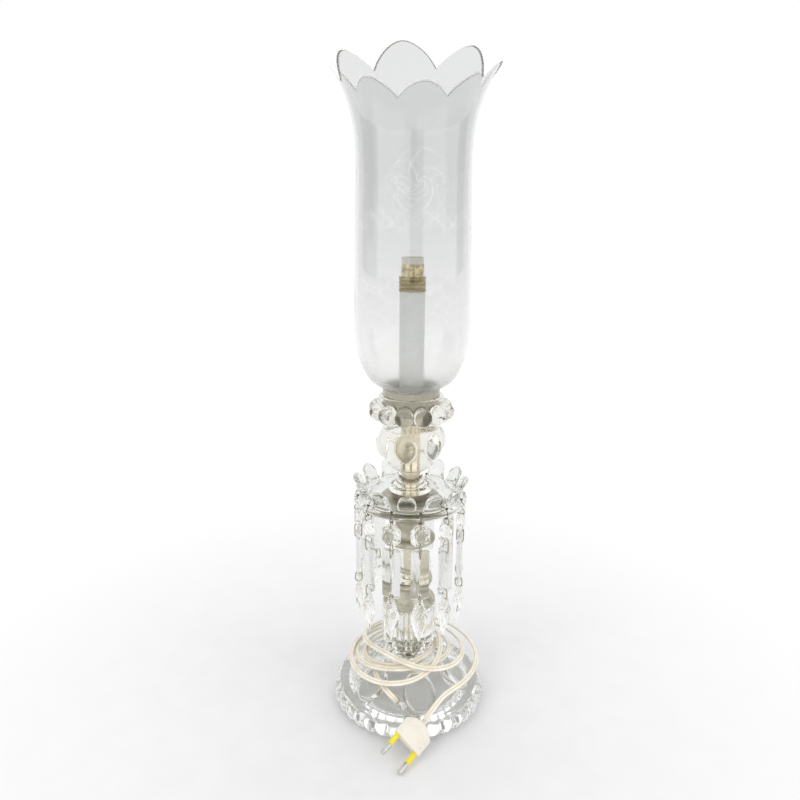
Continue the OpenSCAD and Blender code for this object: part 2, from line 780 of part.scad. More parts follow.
module holder_insulator() {
    low = holder_z + holder_floor;
    body_r = shell_r - shell_wall - thread_gap;
    sleeve_r = socket_r + sleeve_wall;
    color([0.85, 0.83, 0.75])
    difference() {
        union() {
            translate([0, 0, low]) cylinder(r = body_r, h = holder_top - low);
            translate([0, 0, collar_z]) cylinder(r = shell_r - 0.3, h = collar_h);
        }
        translate([0, 0, low + insulator_floor]) cylinder(r = sleeve_r, h = holder_top - low);
        translate([0, 0, low + insulator_floor - contact_h - 0.2])
            cylinder(r = contact_r + 0.15, h = contact_h + 1);
        for (side = [-1, 1]) translate([side * 3, 0, low - 1]) cylinder(r = 1, h = insulator_floor + 2);
    }
}

module holder_contacts() {
    low = holder_z + holder_floor + insulator_floor;
    color([0.8, 0.7, 0.35]) {
        translate([0, 0, low])
            washer(socket_r + sleeve_wall - 0.02, holder_top - low - 1, socket_r);
        translate([0, 0, low - contact_h - 0.2]) cylinder(r = contact_r, h = contact_h);
    }
}

module stem_tube() {
    color([0.7, 0.6, 0.35])
    translate([0, 0, rod_z]) washer(rod_r, rod_top - rod_z, rod_bore_r);
}

module hex_nut() {
    difference() {
        cylinder(r = nut_w / 2 / cos(30), h = nut_h, $fn = 6);
        translate([0, 0, -1]) cylinder(r = rod_r + thread_gap, h = nut_h + 2);
    }
}

module stem_fasteners() {
    color([0.7, 0.6, 0.35]) {
        translate([0, 0, hollow_top - foot_washer_t]) washer(foot_washer_r, foot_washer_t, rod_hole_r);
        translate([0, 0, hollow_top - foot_washer_t - nut_h - thread_gap]) hex_nut();
        translate([0, 0, seat_z]) hex_nut();
    }
}

// Way that the plug's broad side faces, and its rear end where the cord goes in.
function turn_x(v, a) = [v.x, v.y * cos(a) - v.z * sin(a), v.y * sin(a) + v.z * cos(a)];
function turn_y(v, a) = [v.x * cos(a) + v.z * sin(a), v.y, -v.x * sin(a) + v.z * cos(a)];
function turn_z(v, a) = [v.x * cos(a) - v.y * sin(a), v.x * sin(a) + v.y * cos(a), v.z];
function plug_way(v) = turn_z(turn_y(turn_x(v, plug_turn.x), plug_turn.y), plug_turn.z);
plug_rear = plug_at + plug_way([0, plug_l, 0]);

winding_count = ceil(winding_turns * rings_per_loop);
winding_path = [for (i = [0:winding_count]) winding_point(winding_turns * i / winding_count)];
winding_last = winding_path[winding_count];
winding_out = unit(winding_last - winding_path[winding_count - 1]);
lead_in = unit(winding_path[1] - winding_path[0]);
lead_path = concat([hole_mouth], smooth(concat([hole_mouth + cord_w * hole_dir], lead_points,
    [winding_path[0] - cord_w * lead_in]), 3), [winding_path[0]]);
tail_path = concat([winding_last], smooth(concat([winding_last + cord_w * winding_out], tail_points,
    [plug_rear + plug_way([0, cord_w, 0])]), 3), [plug_rear]);
function tail_ways() =
    let (n = len(tail_path) - 1)
    [for (i = [0:n]) let (f = ease(max(0, i / n - 0.7) / 0.3))
        facing(tail_path[i]) * (1 - f) + plug_way([0, 0, 1]) * f];

// Least gap of the winding to itself, measured between the outlines of rings in different turns.
winding_ways = [for (p = winding_path) facing(p)];
winding_rings = [for (i = [0:winding_count]) ring_points(winding_path, winding_ways, i, 12)];
near_pairs = [for (i = [0:winding_count], j = [i + 9:winding_count])
    if (norm(winding_path[i] - winding_path[j]) < 2 * cord_w) [i, j]];
winding_gap = min([for (p = near_pairs, a = winding_rings[p.x], b = winding_rings[p.y]) norm(a - b)]);
echo(winding_gap = winding_gap);

module inner_lead() {
    n = len(inner_path) - 1;
    ways = [for (i = [0:n]) let (f = ease(max(0, i / n - 0.5) / 0.5))
        [1, 0, 0.2] * (1 - f) + facing(hole_mouth) * f];
    color([0.9, 0.87, 0.78]) cord_tube(inner_path, ways, 8);
}
inner_path = concat(
    [[0, 0, rod_top], [0, 0, (rod_top + rod_z) / 2]],
    smooth([
        [0, 0, rod_z + 3], [0, -0.2, rod_z - 1], [0, -2, rod_z - 7], [-1, -7, rod_z - 12],
        [-2, -15, 11], [-3, -24, 9.6], [-4, -32, 9.8], [-5.4, -38.5, 12],
        hole_mouth - 9 * hole_dir, hole_mouth - cord_w * hole_dir
    ], 2),
    [hole_mouth]
);

module cord_lead() {
    color([0.93, 0.9, 0.8]) cord_tube(lead_path, [for (p = lead_path) facing(p)], 8);
}

module cord_winding() {
    color([0.93, 0.9, 0.8]) cord_tube(winding_path, winding_ways, 6);
}

module cord_tail() {
    color([0.93, 0.9, 0.8]) cord_tube(tail_path, tail_ways(), 8);
}

module in_plug() {
    translate(plug_at) rotate(plug_turn) children();
}

module plug_body() {
    side_t = plug_t * 0.5;
    flat = plug_w / 2 - 4.4;
    color([0.93, 0.91, 0.84])
    in_plug()
    intersection() {
        rotate([-90, 0, 0]) linear_extrude(height = plug_l)
            polygon([
                [-plug_w / 2, -side_t / 2], [-flat, -plug_t / 2], [flat, -plug_t / 2],
                [plug_w / 2, -side_t / 2], [plug_w / 2, side_t / 2], [flat, plug_t / 2],
                [-flat, plug_t / 2], [-plug_w / 2, side_t / 2]
            ]);
        translate([0, plug_l - plug_w * 0.8, -plug_t]) cylinder(r = plug_w * 0.8, h = 2 * plug_t);
    }
}

module plug_pins() {
    sleeve_l = pin_l * 0.5;
    tip_l = 1.4;
    in_plug()
    for (side = [-1, 1]) translate([side * pin_pitch / 2, 0, 0]) rotate([90, 0, 0]) {
        color([0.9, 0.85, 0.15]) difference() {
            cylinder(r = pin_r, h = sleeve_l);
            translate([0, 0, -1]) cylinder(r = pin_r - 0.35, h = sleeve_l + 2);
        }
        color([0.6, 0.6, 0.6]) {
            cylinder(r = pin_r - 0.4, h = sleeve_l);
            translate([0, 0, sleeve_l]) cylinder(r = pin_r, h = pin_l - sleeve_l - tip_l);
            translate([0, 0, pin_l - tip_l]) cylinder(r1 = pin_r, r2 = pin_r * 0.6, h = tip_l);
        }
    }
}

foot();
baluster();
column_cap();
stem_spool();
dish_carrier();
drip_dish();
dish_pins();
cup_washer();
candle_cup();
gallery();
shade();
candle_tube();
holder_ring();
holder_shell();
holder_insulator();
holder_contacts();
stem_tube();
stem_fasteners();
inner_lead();
cord_lead();
cord_winding();
cord_tail();
plug_body();
plug_pins();
for (i = chains) bead(i);
for (i = chains) prism(i);
for (i = chains) drop(i);
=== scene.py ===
"""Looks of the glass table lamp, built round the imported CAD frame.

Sizes are in millimetres and are brought to metres where a mesh is made. Turns round the stem are
measured from the front, -Y, towards +X.
"""
import math

import bpy
import numpy as np
from mathutils import Matrix


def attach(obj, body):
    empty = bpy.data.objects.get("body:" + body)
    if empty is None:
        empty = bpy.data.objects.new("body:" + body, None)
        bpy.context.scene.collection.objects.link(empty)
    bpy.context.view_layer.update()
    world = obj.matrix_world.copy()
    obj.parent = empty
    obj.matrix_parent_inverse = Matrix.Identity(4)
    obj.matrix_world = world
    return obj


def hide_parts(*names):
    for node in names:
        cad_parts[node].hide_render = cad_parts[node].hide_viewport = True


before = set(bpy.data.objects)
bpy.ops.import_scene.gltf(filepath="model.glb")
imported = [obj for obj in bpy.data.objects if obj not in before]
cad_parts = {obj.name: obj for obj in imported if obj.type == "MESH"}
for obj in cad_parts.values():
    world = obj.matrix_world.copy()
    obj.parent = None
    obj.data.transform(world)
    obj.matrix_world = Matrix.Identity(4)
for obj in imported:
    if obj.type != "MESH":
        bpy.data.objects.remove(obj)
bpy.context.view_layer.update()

MM = 0.001
TAU = 2 * np.pi
LAMP = "lamp"
SHADE = "glass_shade"
AIR = 0.06

# camera

IMAGE_SIDE = 800
FOCAL_PIXELS = 649.0
CAMERA_AT = (0.0, -0.4933, 0.3987)
PITCH, YAW, ROLL = 0.261, -0.018, 0.006


def aim_camera():
    """Camera at the photograph's place. Its axes come from yaw, downward pitch and roll in turn."""
    data = bpy.data.cameras.new("camera")
    data.sensor_width = 36.0
    data.lens = 36.0 * FOCAL_PIXELS / IMAGE_SIDE
    data.clip_start, data.clip_end = 0.01, 60.0
    ahead = np.array([
        math.sin(YAW) * math.cos(PITCH), math.cos(YAW) * math.cos(PITCH), -math.sin(PITCH)
    ])
    level = np.array([math.cos(YAW), -math.sin(YAW), 0.0])
    above = np.cross(level, ahead)
    right = math.cos(ROLL) * level + math.sin(ROLL) * above
    up = math.cos(ROLL) * above - math.sin(ROLL) * level
    camera = bpy.data.objects.new("camera", data)
    columns = np.stack([right, up, -ahead], 1)
    matrix = np.eye(4)
    matrix[:3, :3] = columns
    matrix[:3, 3] = CAMERA_AT
    camera.matrix_world = Matrix(matrix.tolist())
    bpy.context.scene.collection.objects.link(camera)
    bpy.context.scene.camera = camera


aim_camera()

# meshes


def unit(v):
    """Vectors along the last axis, each divided by its length."""
    return v / np.maximum(np.linalg.norm(v, axis=-1, keepdims=True), 1e-12)


def round_stem(r, z, turn):
    """Points at radius r and height z, turned from the front by an angle in radians."""
    r, z, turn = np.broadcast_arrays(r, z, turn)
    return np.stack([r * np.sin(turn), -r * np.cos(turn), z], -1)


def signed_volume(points, faces):
    """Sum of the tetrahedra between the origin and each face, cut into a fan."""
    total = 0.0
    for k in range(1, faces.shape[1] - 1):
        a, b, c = points[faces[:, 0]], points[faces[:, k]], points[faces[:, k + 1]]
        total += float(np.einsum("ij,ij->i", a, np.cross(b, c)).sum())
    return total / 6


def make_object(name, points, groups, smooth=True, closed=True):
    """Mesh object from points in millimetres and arrays of faces, turned outwards by its volume."""
    points = np.asarray(points, float).reshape(-1, 3)
    centre = points.mean(0)
    volume = sum(signed_volume(points - centre, g) for g in groups)
    if closed and volume < 0:
        groups = [g[:, ::-1] for g in groups]
    faces = [f for g in groups for f in g.tolist()]
    mesh = bpy.data.meshes.new(name)
    mesh.from_pydata((points * MM).tolist(), [], faces)
    mesh.polygons.foreach_set("use_smooth", np.full(len(faces), smooth))
    mesh.update()
    piece = bpy.data.objects.new(name, mesh)
    bpy.context.scene.collection.objects.link(piece)
    return piece


def quads(rows, columns, wrap_rows, wrap_columns):
    """Corners of the quads over a grid, with the last row or column joined to the first on request."""
    i, j = np.meshgrid(
        np.arange(rows - (not wrap_rows)), np.arange(columns - (not wrap_columns)), indexing="ij"
    )
    k, m = (i + 1) % rows, (j + 1) % columns
    return np.stack([i * columns + j, k * columns + j, k * columns + m, i * columns + m], -1).reshape(-1, 4)


def skin(name, grid, wrap_rows=True, wrap_columns=True, smooth=True, caps=False):
    """Surface over a grid of points. Caps close the first and the last row with one face each."""
    rows, columns = grid.shape[:2]
    groups = [quads(rows, columns, wrap_rows, wrap_columns)]
    if caps:
        first = np.arange(columns)[None, :]
        last = (np.arange(columns)[::-1] + (rows - 1) * columns)[None, :]
        groups += [first, last]
    return make_object(name, grid, groups, smooth)


def add_strip_uv(piece, rows, columns, length):
    """UV map of a tube: u runs along it in metres, v once round it."""
    mesh = piece.data
    layer = mesh.uv_layers.new(name="along")
    index = np.zeros(len(mesh.loops), np.int32)
    mesh.loops.foreach_get("vertex_index", index)
    row, column = index // columns, index % columns
    loop_face = np.repeat(np.arange(len(mesh.polygons)), [len(p.vertices) for p in mesh.polygons])
    low = np.full(len(mesh.polygons), columns)
    np.minimum.at(low, loop_face, column)
    high = np.zeros(len(mesh.polygons), int)
    np.maximum.at(high, loop_face, column)
    seam = (high - low)[loop_face] > 1
    v = np.where(seam & (column == 0), columns, column) / columns
    u = row / max(rows - 1, 1) * length
    layer.data.foreach_set("uv", np.stack([u, v], -1).astype(np.float32).ravel())


def rounded(profile, steps=5):
    """Closed profile of (radius, height, corner): each corner becomes a parabola between points
    that lie the corner's length away along both sides, at most 0.45 of a side."""
    p = np.array([q[:2] for q in profile], float)
    d = np.array([q[2] if len(q) > 2 else 0.3 for q in profile], float)[:, None]
    before, after = np.roll(p, 1, 0) - p, np.roll(p, -1, 0) - p
    lb = np.linalg.norm(before, axis=1, keepdims=True)
    la = np.linalg.norm(after, axis=1, keepdims=True)
    a = p + before / np.maximum(lb, 1e-9) * np.minimum(d, 0.45 * lb)
    b = p + after / np.maximum(la, 1e-9) * np.minimum(d, 0.45 * la)
    t = np.linspace(0, 1, steps)[None, :, None]
    curve = (1 - t) ** 2 * a[:, None] + 2 * t * (1 - t) * p[:, None] + t**2 * b[:, None]
    return curve.reshape(-1, 2)


def dense(line, step):
    """Closed line with further points put in, so that no side is longer than step. Step is a
    length, or a function that gives one for the middle of a side."""
    ring = np.vstack([line, line[:1]])
    length = np.linalg.norm(np.diff(ring, axis=0), axis=1)
    ring = np.vstack([ring[:-1][length > 1e-6], ring[:1]])
    length = length[length > 1e-6]
    middle = (ring[:-1] + ring[1:]) / 2
    most = step(middle[:, 0], middle[:, 1]) if callable(step) else np.full(len(length), step)
    parts = np.maximum(np.round(length / most), 1).astype(int)
    side = np.repeat(np.arange(len(parts)), parts)
    first = np.cumsum(parts) - parts
    f = ((np.arange(parts.sum()) - first[side]) / parts[side])[:, None]
    return ring[side] * (1 - f) + ring[side + 1] * f


def turned(name, profile, columns=128, step=2.0, shape=None, steps=5):
    """Closed profile carried round the stem: point (r, z) of the profile goes to radius and height
    shape(r, z, turn), or stays as it is."""
    line = dense(rounded(profile, steps), step)
    turn = np.arange(columns) * TAU / columns
    r, z = np.broadcast_arrays(line[:, :1], np.zeros(columns))[0], line[:, 1:]
    z = np.broadcast_to(z, r.shape)
    if shape is not None:
        r, z = shape(r, z, np.broadcast_to(turn, r.shape))
    return skin(name, round_stem(r, z, turn))


def nearest_turn(turn, first, count):
    """Angle in radians from the nearest of count equal places, the first at first degrees."""
    pitch = TAU / count
    return (turn - math.radians(first) + pitch / 2) % pitch - pitch / 2


def ease(f):
    """Smooth step from 0 to 1."""
    f = np.clip(f, 0, 1)
    return f * f * (3 - 2 * f)


def place(piece, body, material, slot, *nodes):
    """Puts a material on a piece, lets it ride on a body and stand for CAD nodes."""
    piece.data.materials.clear()
    piece.data.materials.append(material)
    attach(piece, body)
    if nodes:
        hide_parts(*nodes)
    return piece


# materials


class Graph:
    """A node tree with short calls for the nodes that the materials use."""

    def __init__(self, tree):
        self.tree = tree

    def node(self, kind, inputs=(), **settings):
        made = self.tree.nodes.new(kind)
        for key, value in settings.items():
            setattr(made, key, value)
        for key, value in dict(inputs).items():
            self.put(made.inputs[key], value)
        return made

    def put(self, socket, value):
        if isinstance(value, bpy.types.NodeSocket):
            self.tree.links.new(value, socket)
        else:
            socket.default_value = value

    def math(self, kind, a, b=0.0, c=0.0):
        return self.node("ShaderNodeMath", {0: a, 1: b, 2: c}, operation=kind).outputs[0]

    def mix(self, factor, a, b):
        made = self.node("ShaderNodeMix", {0: factor, 6: a, 7: b}, data_type="RGBA")
        return made.outputs[2]

    def span(self, value, low, high, to_low=0.0, to_high=1.0):
        return self.node(
            "ShaderNodeMapRange", {0: value, 1: low, 2: high, 3: to_low, 4: to_high}
        ).outputs[0]


def object_point(g):
    return g.node("ShaderNodeTexCoord").outputs["Object"]


def noise(g, scale, detail=3.0, where=None, roughness=0.5):
    point = where if where is not None else object_point(g)
    return g.node(
        "ShaderNodeTexNoise",
        {"Vector": point, "Scale": scale, "Detail": detail, "Roughness": roughness},
    ).outputs[0]


def new_material(name):
    material = bpy.data.materials.new(name)
    material.use_nodes = True
    tree = material.node_tree
    tree.nodes.clear()
    g = Graph(tree)
    out = g.node("ShaderNodeOutputMaterial")
    return material, g, out


def wear_group():
    """Group: hand marks and dust from three noises, out as a mask from 0 to 1."""
    tree = bpy.data.node_groups.new("hand_marks", "ShaderNodeTree")
    tree.interface.new_socket("Scale", in_out="INPUT", socket_type="NodeSocketFloat")
    tree.interface.new_socket("Amount", in_out="INPUT", socket_type="NodeSocketFloat")
    tree.interface.new_socket("Mask", in_out="OUTPUT", socket_type="NodeSocketFloat")
    g = Graph(tree)
    given = g.node("NodeGroupInput")
    out = g.node("NodeGroupOutput")
    point = object_point(g)
    wide = g.node(
        "ShaderNodeTexNoise", {"Vector": point, "Scale": given.outputs["Scale"], "Detail": 4.0}
    ).outputs[0]
    fine = g.node(
        "ShaderNodeTexNoise",
        {"Vector": point, "Scale": g.math("MULTIPLY", given.outputs["Scale"], 9.0), "Detail": 2.0},
    ).outputs[0]
    both = g.math("MULTIPLY", g.span(wide, 0.42, 0.72), g.span(fine, 0.35, 0.75))
    g.put(out.inputs["Mask"], g.math("MULTIPLY", both, given.outputs["Amount"]))
    return tree


HAND_MARKS = wear_group()


def marks(g, scale, amount):
    made = g.node("ShaderNodeGroup")
    made.node_tree = HAND_MARKS
    g.put(made.inputs["Scale"], scale)
    g.put(made.inputs["Amount"], amount)
    return made.outputs["Mask"]


def lit_through(g, out, shader, share, tint):
    """Glass that lets part of the lamps' light straight through, so that its shadow is pale."""
    path = g.node("ShaderNodeLightPath").outputs["Is Shadow Ray"]
    clear = g.node("ShaderNodeBsdfTransparent", {"Color": tint}).outputs[0]
    both = g.node("ShaderNodeMixShader", {0: g.math("MULTIPLY", path, share), 1: shader, 2: clear})
    g.put(out.inputs["Surface"], both.outputs[0])


def glass(name, tint, ior, roughness, wave, wave_scale, dust):
    """Clear glass: waves of the mould in its normals, faint hand marks in its roughness."""
    material, g, out = new_material(name)
    film = marks(g, 60.0, dust)
    swell = noise(g, wave_scale, 2.0)
    bump = g.node("ShaderNodeBump", {"Strength": wave, "Distance": 0.0006, "Height": swell})
    shader = g.node(
        "ShaderNodeBsdfPrincipled",
        {
            "Base Color": g.mix(film, tint, (0.93, 0.93, 0.91, 1)),
            "Roughness": g.span(film, 0.0, 1.0, roughness, roughness + 0.12),
            "IOR": ior,
            "Transmission Weight": 1.0,
            "Normal": bump.outputs[0],
        },
    )
    lit_through(g, out, shader.outputs[0], 0.97, (0.97, 0.975, 0.97, 1))
    return material


def foot_glass():
    """Glass of the foot: the groove round each raised oval is darkened, partly as soil and partly as painted shade, and
    the oval's middle is given a lighter tone as painted light.
    """
    material, g, out = new_material("foot_glass")
    x, y, z = g.node("ShaderNodeSeparateXYZ", {0: object_point(g)}).outputs
    turn = g.math("ARCTAN2", x, g.math("MULTIPLY", y, -1.0))
    r = g.math("SQRT", g.math("ADD", g.math("MULTIPLY", x, x), g.math("MULTIPLY", y, y)))
    shifted = g.math("ADD", turn, TAU - math.radians(12.7) + TAU / 12)
    local = g.math("SUBTRACT", g.math("MODULO", shifted, TAU / 6), TAU / 12)
    w = g.math("DIVIDE", g.math("MULTIPLY", r, g.math("SINE", local)), 0.011)
    u = g.math("DIVIDE", g.math("SUBTRACT", g.math("MULTIPLY", r, g.math("COSINE", local)), 0.041), 0.0113)
    out_from = g.math("SQRT", g.math("ADD", g.math("MULTIPLY", w, w), g.math("MULTIPLY", u, u)))
    over = g.math("MULTIPLY_ADD", g.math("SUBTRACT", r, 0.014), 0.725, g.math("SUBTRACT", z, 0.048))
    on_top = g.math("MULTIPLY", g.span(over, -0.006, -0.003), g.span(z, 0.018, 0.02))
    patchy = g.span(noise(g, 150.0, 3.0), 0.3, 0.65, 0.35, 1.0)
    # Soil and painted shade: the groove round each oval is darkened.
    groove = g.span(g.math("ABSOLUTE", g.math("SUBTRACT", out_from, 1.12)), 0.16, 0.04)
    soil = g.math("MULTIPLY", g.math("MULTIPLY", groove, on_top), patchy)
    # Painted light: the middle of each oval gets a lighter tone.
    painted_light_middle = g.math("MULTIPLY", g.span(out_from, 0.95, 0.5), on_top)
    film = marks(g, 60.0, 0.4)
    tone = g.mix(painted_light_middle, (0.93, 0.935, 0.915, 1), (1.0, 1.0, 0.99, 1))
    tone = g.mix(soil, tone, (0.62, 0.59, 0.5, 1))
    bump = g.node("ShaderNodeBump", {"Strength": 0.35, "Distance": 0.0006, "Height": noise(g, 55.0, 2.0)})
    shader = g.node(
        "ShaderNodeBsdfPrincipled",
        {
            "Base Color": tone,
            "Roughness": g.span(g.math("MAXIMUM", film, soil), 0.0, 1.0, 0.012, 0.22),
            "IOR": 1.5,
            "Transmission Weight": 1.0,
            "Normal": bump.outputs[0],
        },
    )
    lit_through(g, out, shader.outputs[0], 0.97, (0.97, 0.975, 0.97, 1))
    return material


def metal(name, colour, dark, roughness, scale=180.0, tarnish=0.6, turned_marks=0.0, grain=0.12):
    """Metal with tarnish in patches and, where asked, the fine rings left by turning."""
    material, g, out = new_material(name)
    patches = g.span(noise(g, scale, 5.0), 0.38, 0.68)
    film = marks(g, 90.0, 0.8)
    worn = g.math("MULTIPLY", patches, tarnish)
    height = noise(g, scale * 6, 2.0)
    if turned_marks:
        axis = g.node("ShaderNodeSeparateXYZ", {0: object_point(g)}).outputs[2]
        rings = g.math("SINE", g.math("MULTIPLY", axis, 9000.0))
        height = g.math("MULTIPLY_ADD", rings, turned_marks, height)
    bump = g.node("ShaderNodeBump", {"Strength": grain, "Distance": 0.0004, "Height": height})
    shader = g.node(
        "ShaderNodeBsdfPrincipled",
        {
            "Base Color": g.mix(worn, colour, dark),
            "Roughness": g.span(g.math("ADD", worn, film), 0.0, 1.4, roughness, roughness * 2),
            "Metallic": 1.0,
            "Normal": bump.outputs[0],
        },
    )
    g.put(out.inputs["Surface"], shader.outputs[0])
    return material


def plastic(name, colour, dirt, roughness, grain=900.0, soil=0.5, coat=0.0):
    """Moulded plastic or rubber: faint grain, and soil that gathers in patches."""
    material, g, out = new_material(name)
    film = marks(g, 70.0, soil)
    tone = g.mix(g.span(noise(g, 40.0, 3.0), 0.3, 0.7), colour, tuple(0.94 * c for c in colour[:3]) + (1,))
    bump = g.node(
        "ShaderNodeBump", {"Strength": 0.08, "Distance": 0.0002, "Height": noise(g, grain, 2.0)}
    )
    shader = g.node(
        "ShaderNodeBsdfPrincipled",
        {
            "Base Color": g.mix(film, tone, dirt),
            "Roughness": g.span(film, 0.0, 1.0, roughness, roughness + 0.2),
            "Coat Weight": coat,
            "Normal": bump.outputs[0],
        },
    )
    g.put(out.inputs["Surface"], shader.outputs[0])
    return material


def cord_material():
    """Ivory flex: the crease between its two cores is painted tan as shade on both faces, and hand marks add tan soil
    in patches.
    """
    material, g, out = new_material("cord_ivory")
    uv = g.node("ShaderNodeUVMap", uv_map="along").outputs[0]
    parts = g.node("ShaderNodeSeparateXYZ", {0: uv})
    around = g.math("MULTIPLY", parts.outputs[1], TAU * 2)
    # Painted shade: tan along the crease between the two cores.
    groove = g.span(g.math("COSINE", around), -1.0, -0.95, 1.0, 0.0)
    film = marks(g, 120.0, 0.7)
    # soil here holds both the painted shade of the crease and real soil from hand marks.
    soil = g.math("MAXIMUM", g.math("MULTIPLY", groove, 0.85), film)
    tone = g.mix(g.span(noise(g, 60.0, 2.0), 0.3, 0.7), (0.93, 0.89, 0.78, 1), (0.88, 0.83, 0.7, 1))
    bump = g.node(
        "ShaderNodeBump", {"Strength": 0.1, "Distance": 0.0002, "Height": noise(g, 1500.0, 2.0)}
    )
    shader = g.node(
        "ShaderNodeBsdfPrincipled",
        {
            "Base Color": g.mix(soil, tone, (0.55, 0.43, 0.26, 1)),
            "Roughness": g.span(film, 0.0, 1.0, 0.34, 0.6),
            "Normal": bump.outputs[0],
        },
    )
    g.put(out.inputs["Surface"], shader.outputs[0])
    return material


CLEAR = glass("moulded_glass", (0.94, 0.945, 0.925, 1), 1.5, 0.012, 0.35, 55.0, 0.35)
DISH_GLASS = glass("dish_glass", (0.87, 0.885, 0.855, 1), 1.5, 0.02, 0.3, 70.0, 0.5)
CUP_GLASS = glass("cup_glass", (0.87, 0.86, 0.81, 1), 1.5, 0.015, 0.35, 55.0, 0.4)
CRYSTAL = glass("cut_crystal", (0.965, 0.965, 0.94, 1), 1.55, 0.0, 0.04, 150.0, 0.2)
PRISM_GLASS = glass("dusty_prism", (0.88, 0.885, 0.865, 1), 1.52, 0.1, 0.06, 120.0, 0.8)
AGED_BRASS = metal("aged_brass", (0.6, 0.575, 0.48, 1), (0.4, 0.375, 0.3, 1), 0.3, 120.0, 0.8, 0.15)
BRIGHT_BRASS = metal("bright_brass", (0.78, 0.68, 0.45, 1), (0.3, 0.22, 0.09, 1), 0.1, 260.0, 0.75, 0.1, 0.05)
# Painted shade: a darker copy of the lampholder's brass, used for its lower ring.
SHADED_BRASS = metal("shaded_brass", (0.44, 0.36, 0.18, 1), (0.16, 0.12, 0.05, 1), 0.1, 240.0, 0.8, 0.1, 0.06)
LINK_WIRE = metal("link_wire", (0.45, 0.4, 0.3, 1), (0.2, 0.17, 0.11, 1), 0.3, 900.0, 0.7)
DARK_WIRE = metal("dark_wire", (0.25, 0.2, 0.13, 1), (0.09, 0.07, 0.05, 1), 0.35, 900.0, 0.8)
GALLERY_METAL = metal("gallery_metal", (0.45, 0.43, 0.36, 1), (0.3, 0.28, 0.22, 1), 0.09, 140.0, 0.5, 0.0, 0.02)
PIN_METAL = metal("pin_nickel", (0.72, 0.7, 0.66, 1), (0.4, 0.37, 0.33, 1), 0.2, 500.0, 0.5)
WASHER = plastic("dark_washer", (0.3, 0.24, 0.18, 1), (0.4, 0.33, 0.25, 1), 0.8, 700.0, 0.6)
TUBE_BRASS = metal("pale_tube_brass", (0.86, 0.8, 0.65, 1), (0.66, 0.6, 0.46, 1), 0.2, 160.0, 0.5)
INSULATOR = plastic("pale_insulator", (0.84, 0.82, 0.76, 1), (0.4, 0.34, 0.25, 1), 0.35, 600.0, 0.5)
PLUG_PLASTIC = plastic("ivory_plastic", (0.87, 0.82, 0.72, 1), (0.55, 0.46, 0.32, 1), 0.32, 1400.0, 0.45, 0.2)
SLEEVE_YELLOW = plastic("yellow_sleeve", (0.9, 0.78, 0.03, 1), (0.5, 0.4, 0.1, 1), 0.4, 900.0, 0.4)
CORD = cord_material()

# the cord

DOME_SEAT, DOME_TOP, DOME_EDGE_R, DOME_EDGE = 14.0, 48.0, 54.0, 19.0
DOME_SLOPE = (DOME_TOP - DOME_EDGE) / (DOME_EDGE_R - DOME_SEAT)
SLOPE_ANGLE = math.atan(DOME_SLOPE)
UNDER_DROP = 9.9
CORD_W, CORD_T = 4.4, 2.3
HOLE_R = 2.9
ROD_TOP, ROD_Z = 355.0, 27.0

WINDING_TURNS, WINDING_START = 4.35, -60.0
WINDING_CLIMB, WINDING_LAY, WINDING_PHASE = 3.6, 3.1, 0.8
LOOP_RADII = np.array([30, 40, 38, 42, 46.0])
LOOP_OFFSETS = np.array([8.5, 9.5, 11.5, 12.5, 9.0])
LOOP_WAYS = np.array([-125, -160, -70, -225, -150.0])

LEAD = [(-14.8, -44.8, 30.8), (-19, -39.8, 32.4), (-23.8, -32.6, 33.6), (-27.2, -26, 35.2)]
TAIL = [
    (24, 43, 44), (37, 40, 40.5), (49, 32, 37), (57, 20, 34.5), (60, 7, 32.5), (58, -6, 30.5),
    (52, -17, 28.5), (44, -26.5, 27.6), (36, -34, 27.4), (29, -41, 27), (23.5, -48, 25.5),
    (19, -54, 23.5), (15, -58.5, 21),
]
PLUG_AT, PLUG_TURN = np.array([-1.1, -78, 13.1]), (19, 36, -29)
PLUG_L, PLUG_W, PLUG_T = 20.0, 25.4, 8.2

hole_a = math.radians(-12.5)
HOLE = np.array([46 * math.sin(hole_a), -46 * math.cos(hole_a), DOME_TOP - (46 - DOME_SEAT) * DOME_SLOPE])
HOLE_WAY = np.array([
    math.sin(math.radians(30)) * math.cos(math.radians(207)),
    math.sin(math.radians(30)) * math.sin(math.radians(207)), math.cos(math.radians(30)),
])


def dome_z(r):
    """Height of the foot's plain dome at radius r."""
    return DOME_TOP - np.maximum(0, r - DOME_SEAT) * DOME_SLOPE


def blend(values, u):
    """Values at fractional places in a list, eased from each entry to the next."""
    v = np.clip(u, 0, len(values) - 1.001)
    k = np.floor(v).astype(int)
    f = ease(v - k)
    return values[k] * (1 - f) + values[k + 1] * f


def winding(u):
    """Loose winding after u turns: its radius swings once a turn about a mean that drifts from
    loop to loop, and its height is the dome's plus a steady climb."""
    a = np.radians(WINDING_START - 360 * u)
    v = u - WINDING_PHASE
    r = blend(LOOP_RADII, v) + blend(LOOP_OFFSETS, v) * np.cos(a - np.radians(blend(LOOP_WAYS, v)))
    return round_stem(r, dome_z(r) + WINDING_LAY + WINDING_CLIMB * u, a)


def facing(p):
    """Way that the dome's surface faces under the points p."""
    flat = unit(p * np.array([1, 1, 0.0]))
    return flat * math.sin(SLOPE_ANGLE) + np.array([0, 0, math.cos(SLOPE_ANGLE)])


def spline(points, steps):
    """Catmull-Rom curve through points, steps spans between each two of them."""
    p = np.asarray(points, float)
    a, b, c, d = np.vstack([p[:1], p[:-2]]), p[:-1], p[1:], np.vstack([p[2:], p[-1:]])
    t = (np.arange(steps) / steps)[None, :, None]
    a, b, c, d = (q[:, None] for q in (a, b, c, d))
    curve = 0.5 * (
        2 * b + (c - a) * t + (2 * a - 5 * b + 4 * c - d) * t**2 + (3 * b - a - 3 * c + d) * t**3
    )
    return np.vstack([curve.reshape(-1, 3), p[-1:]])


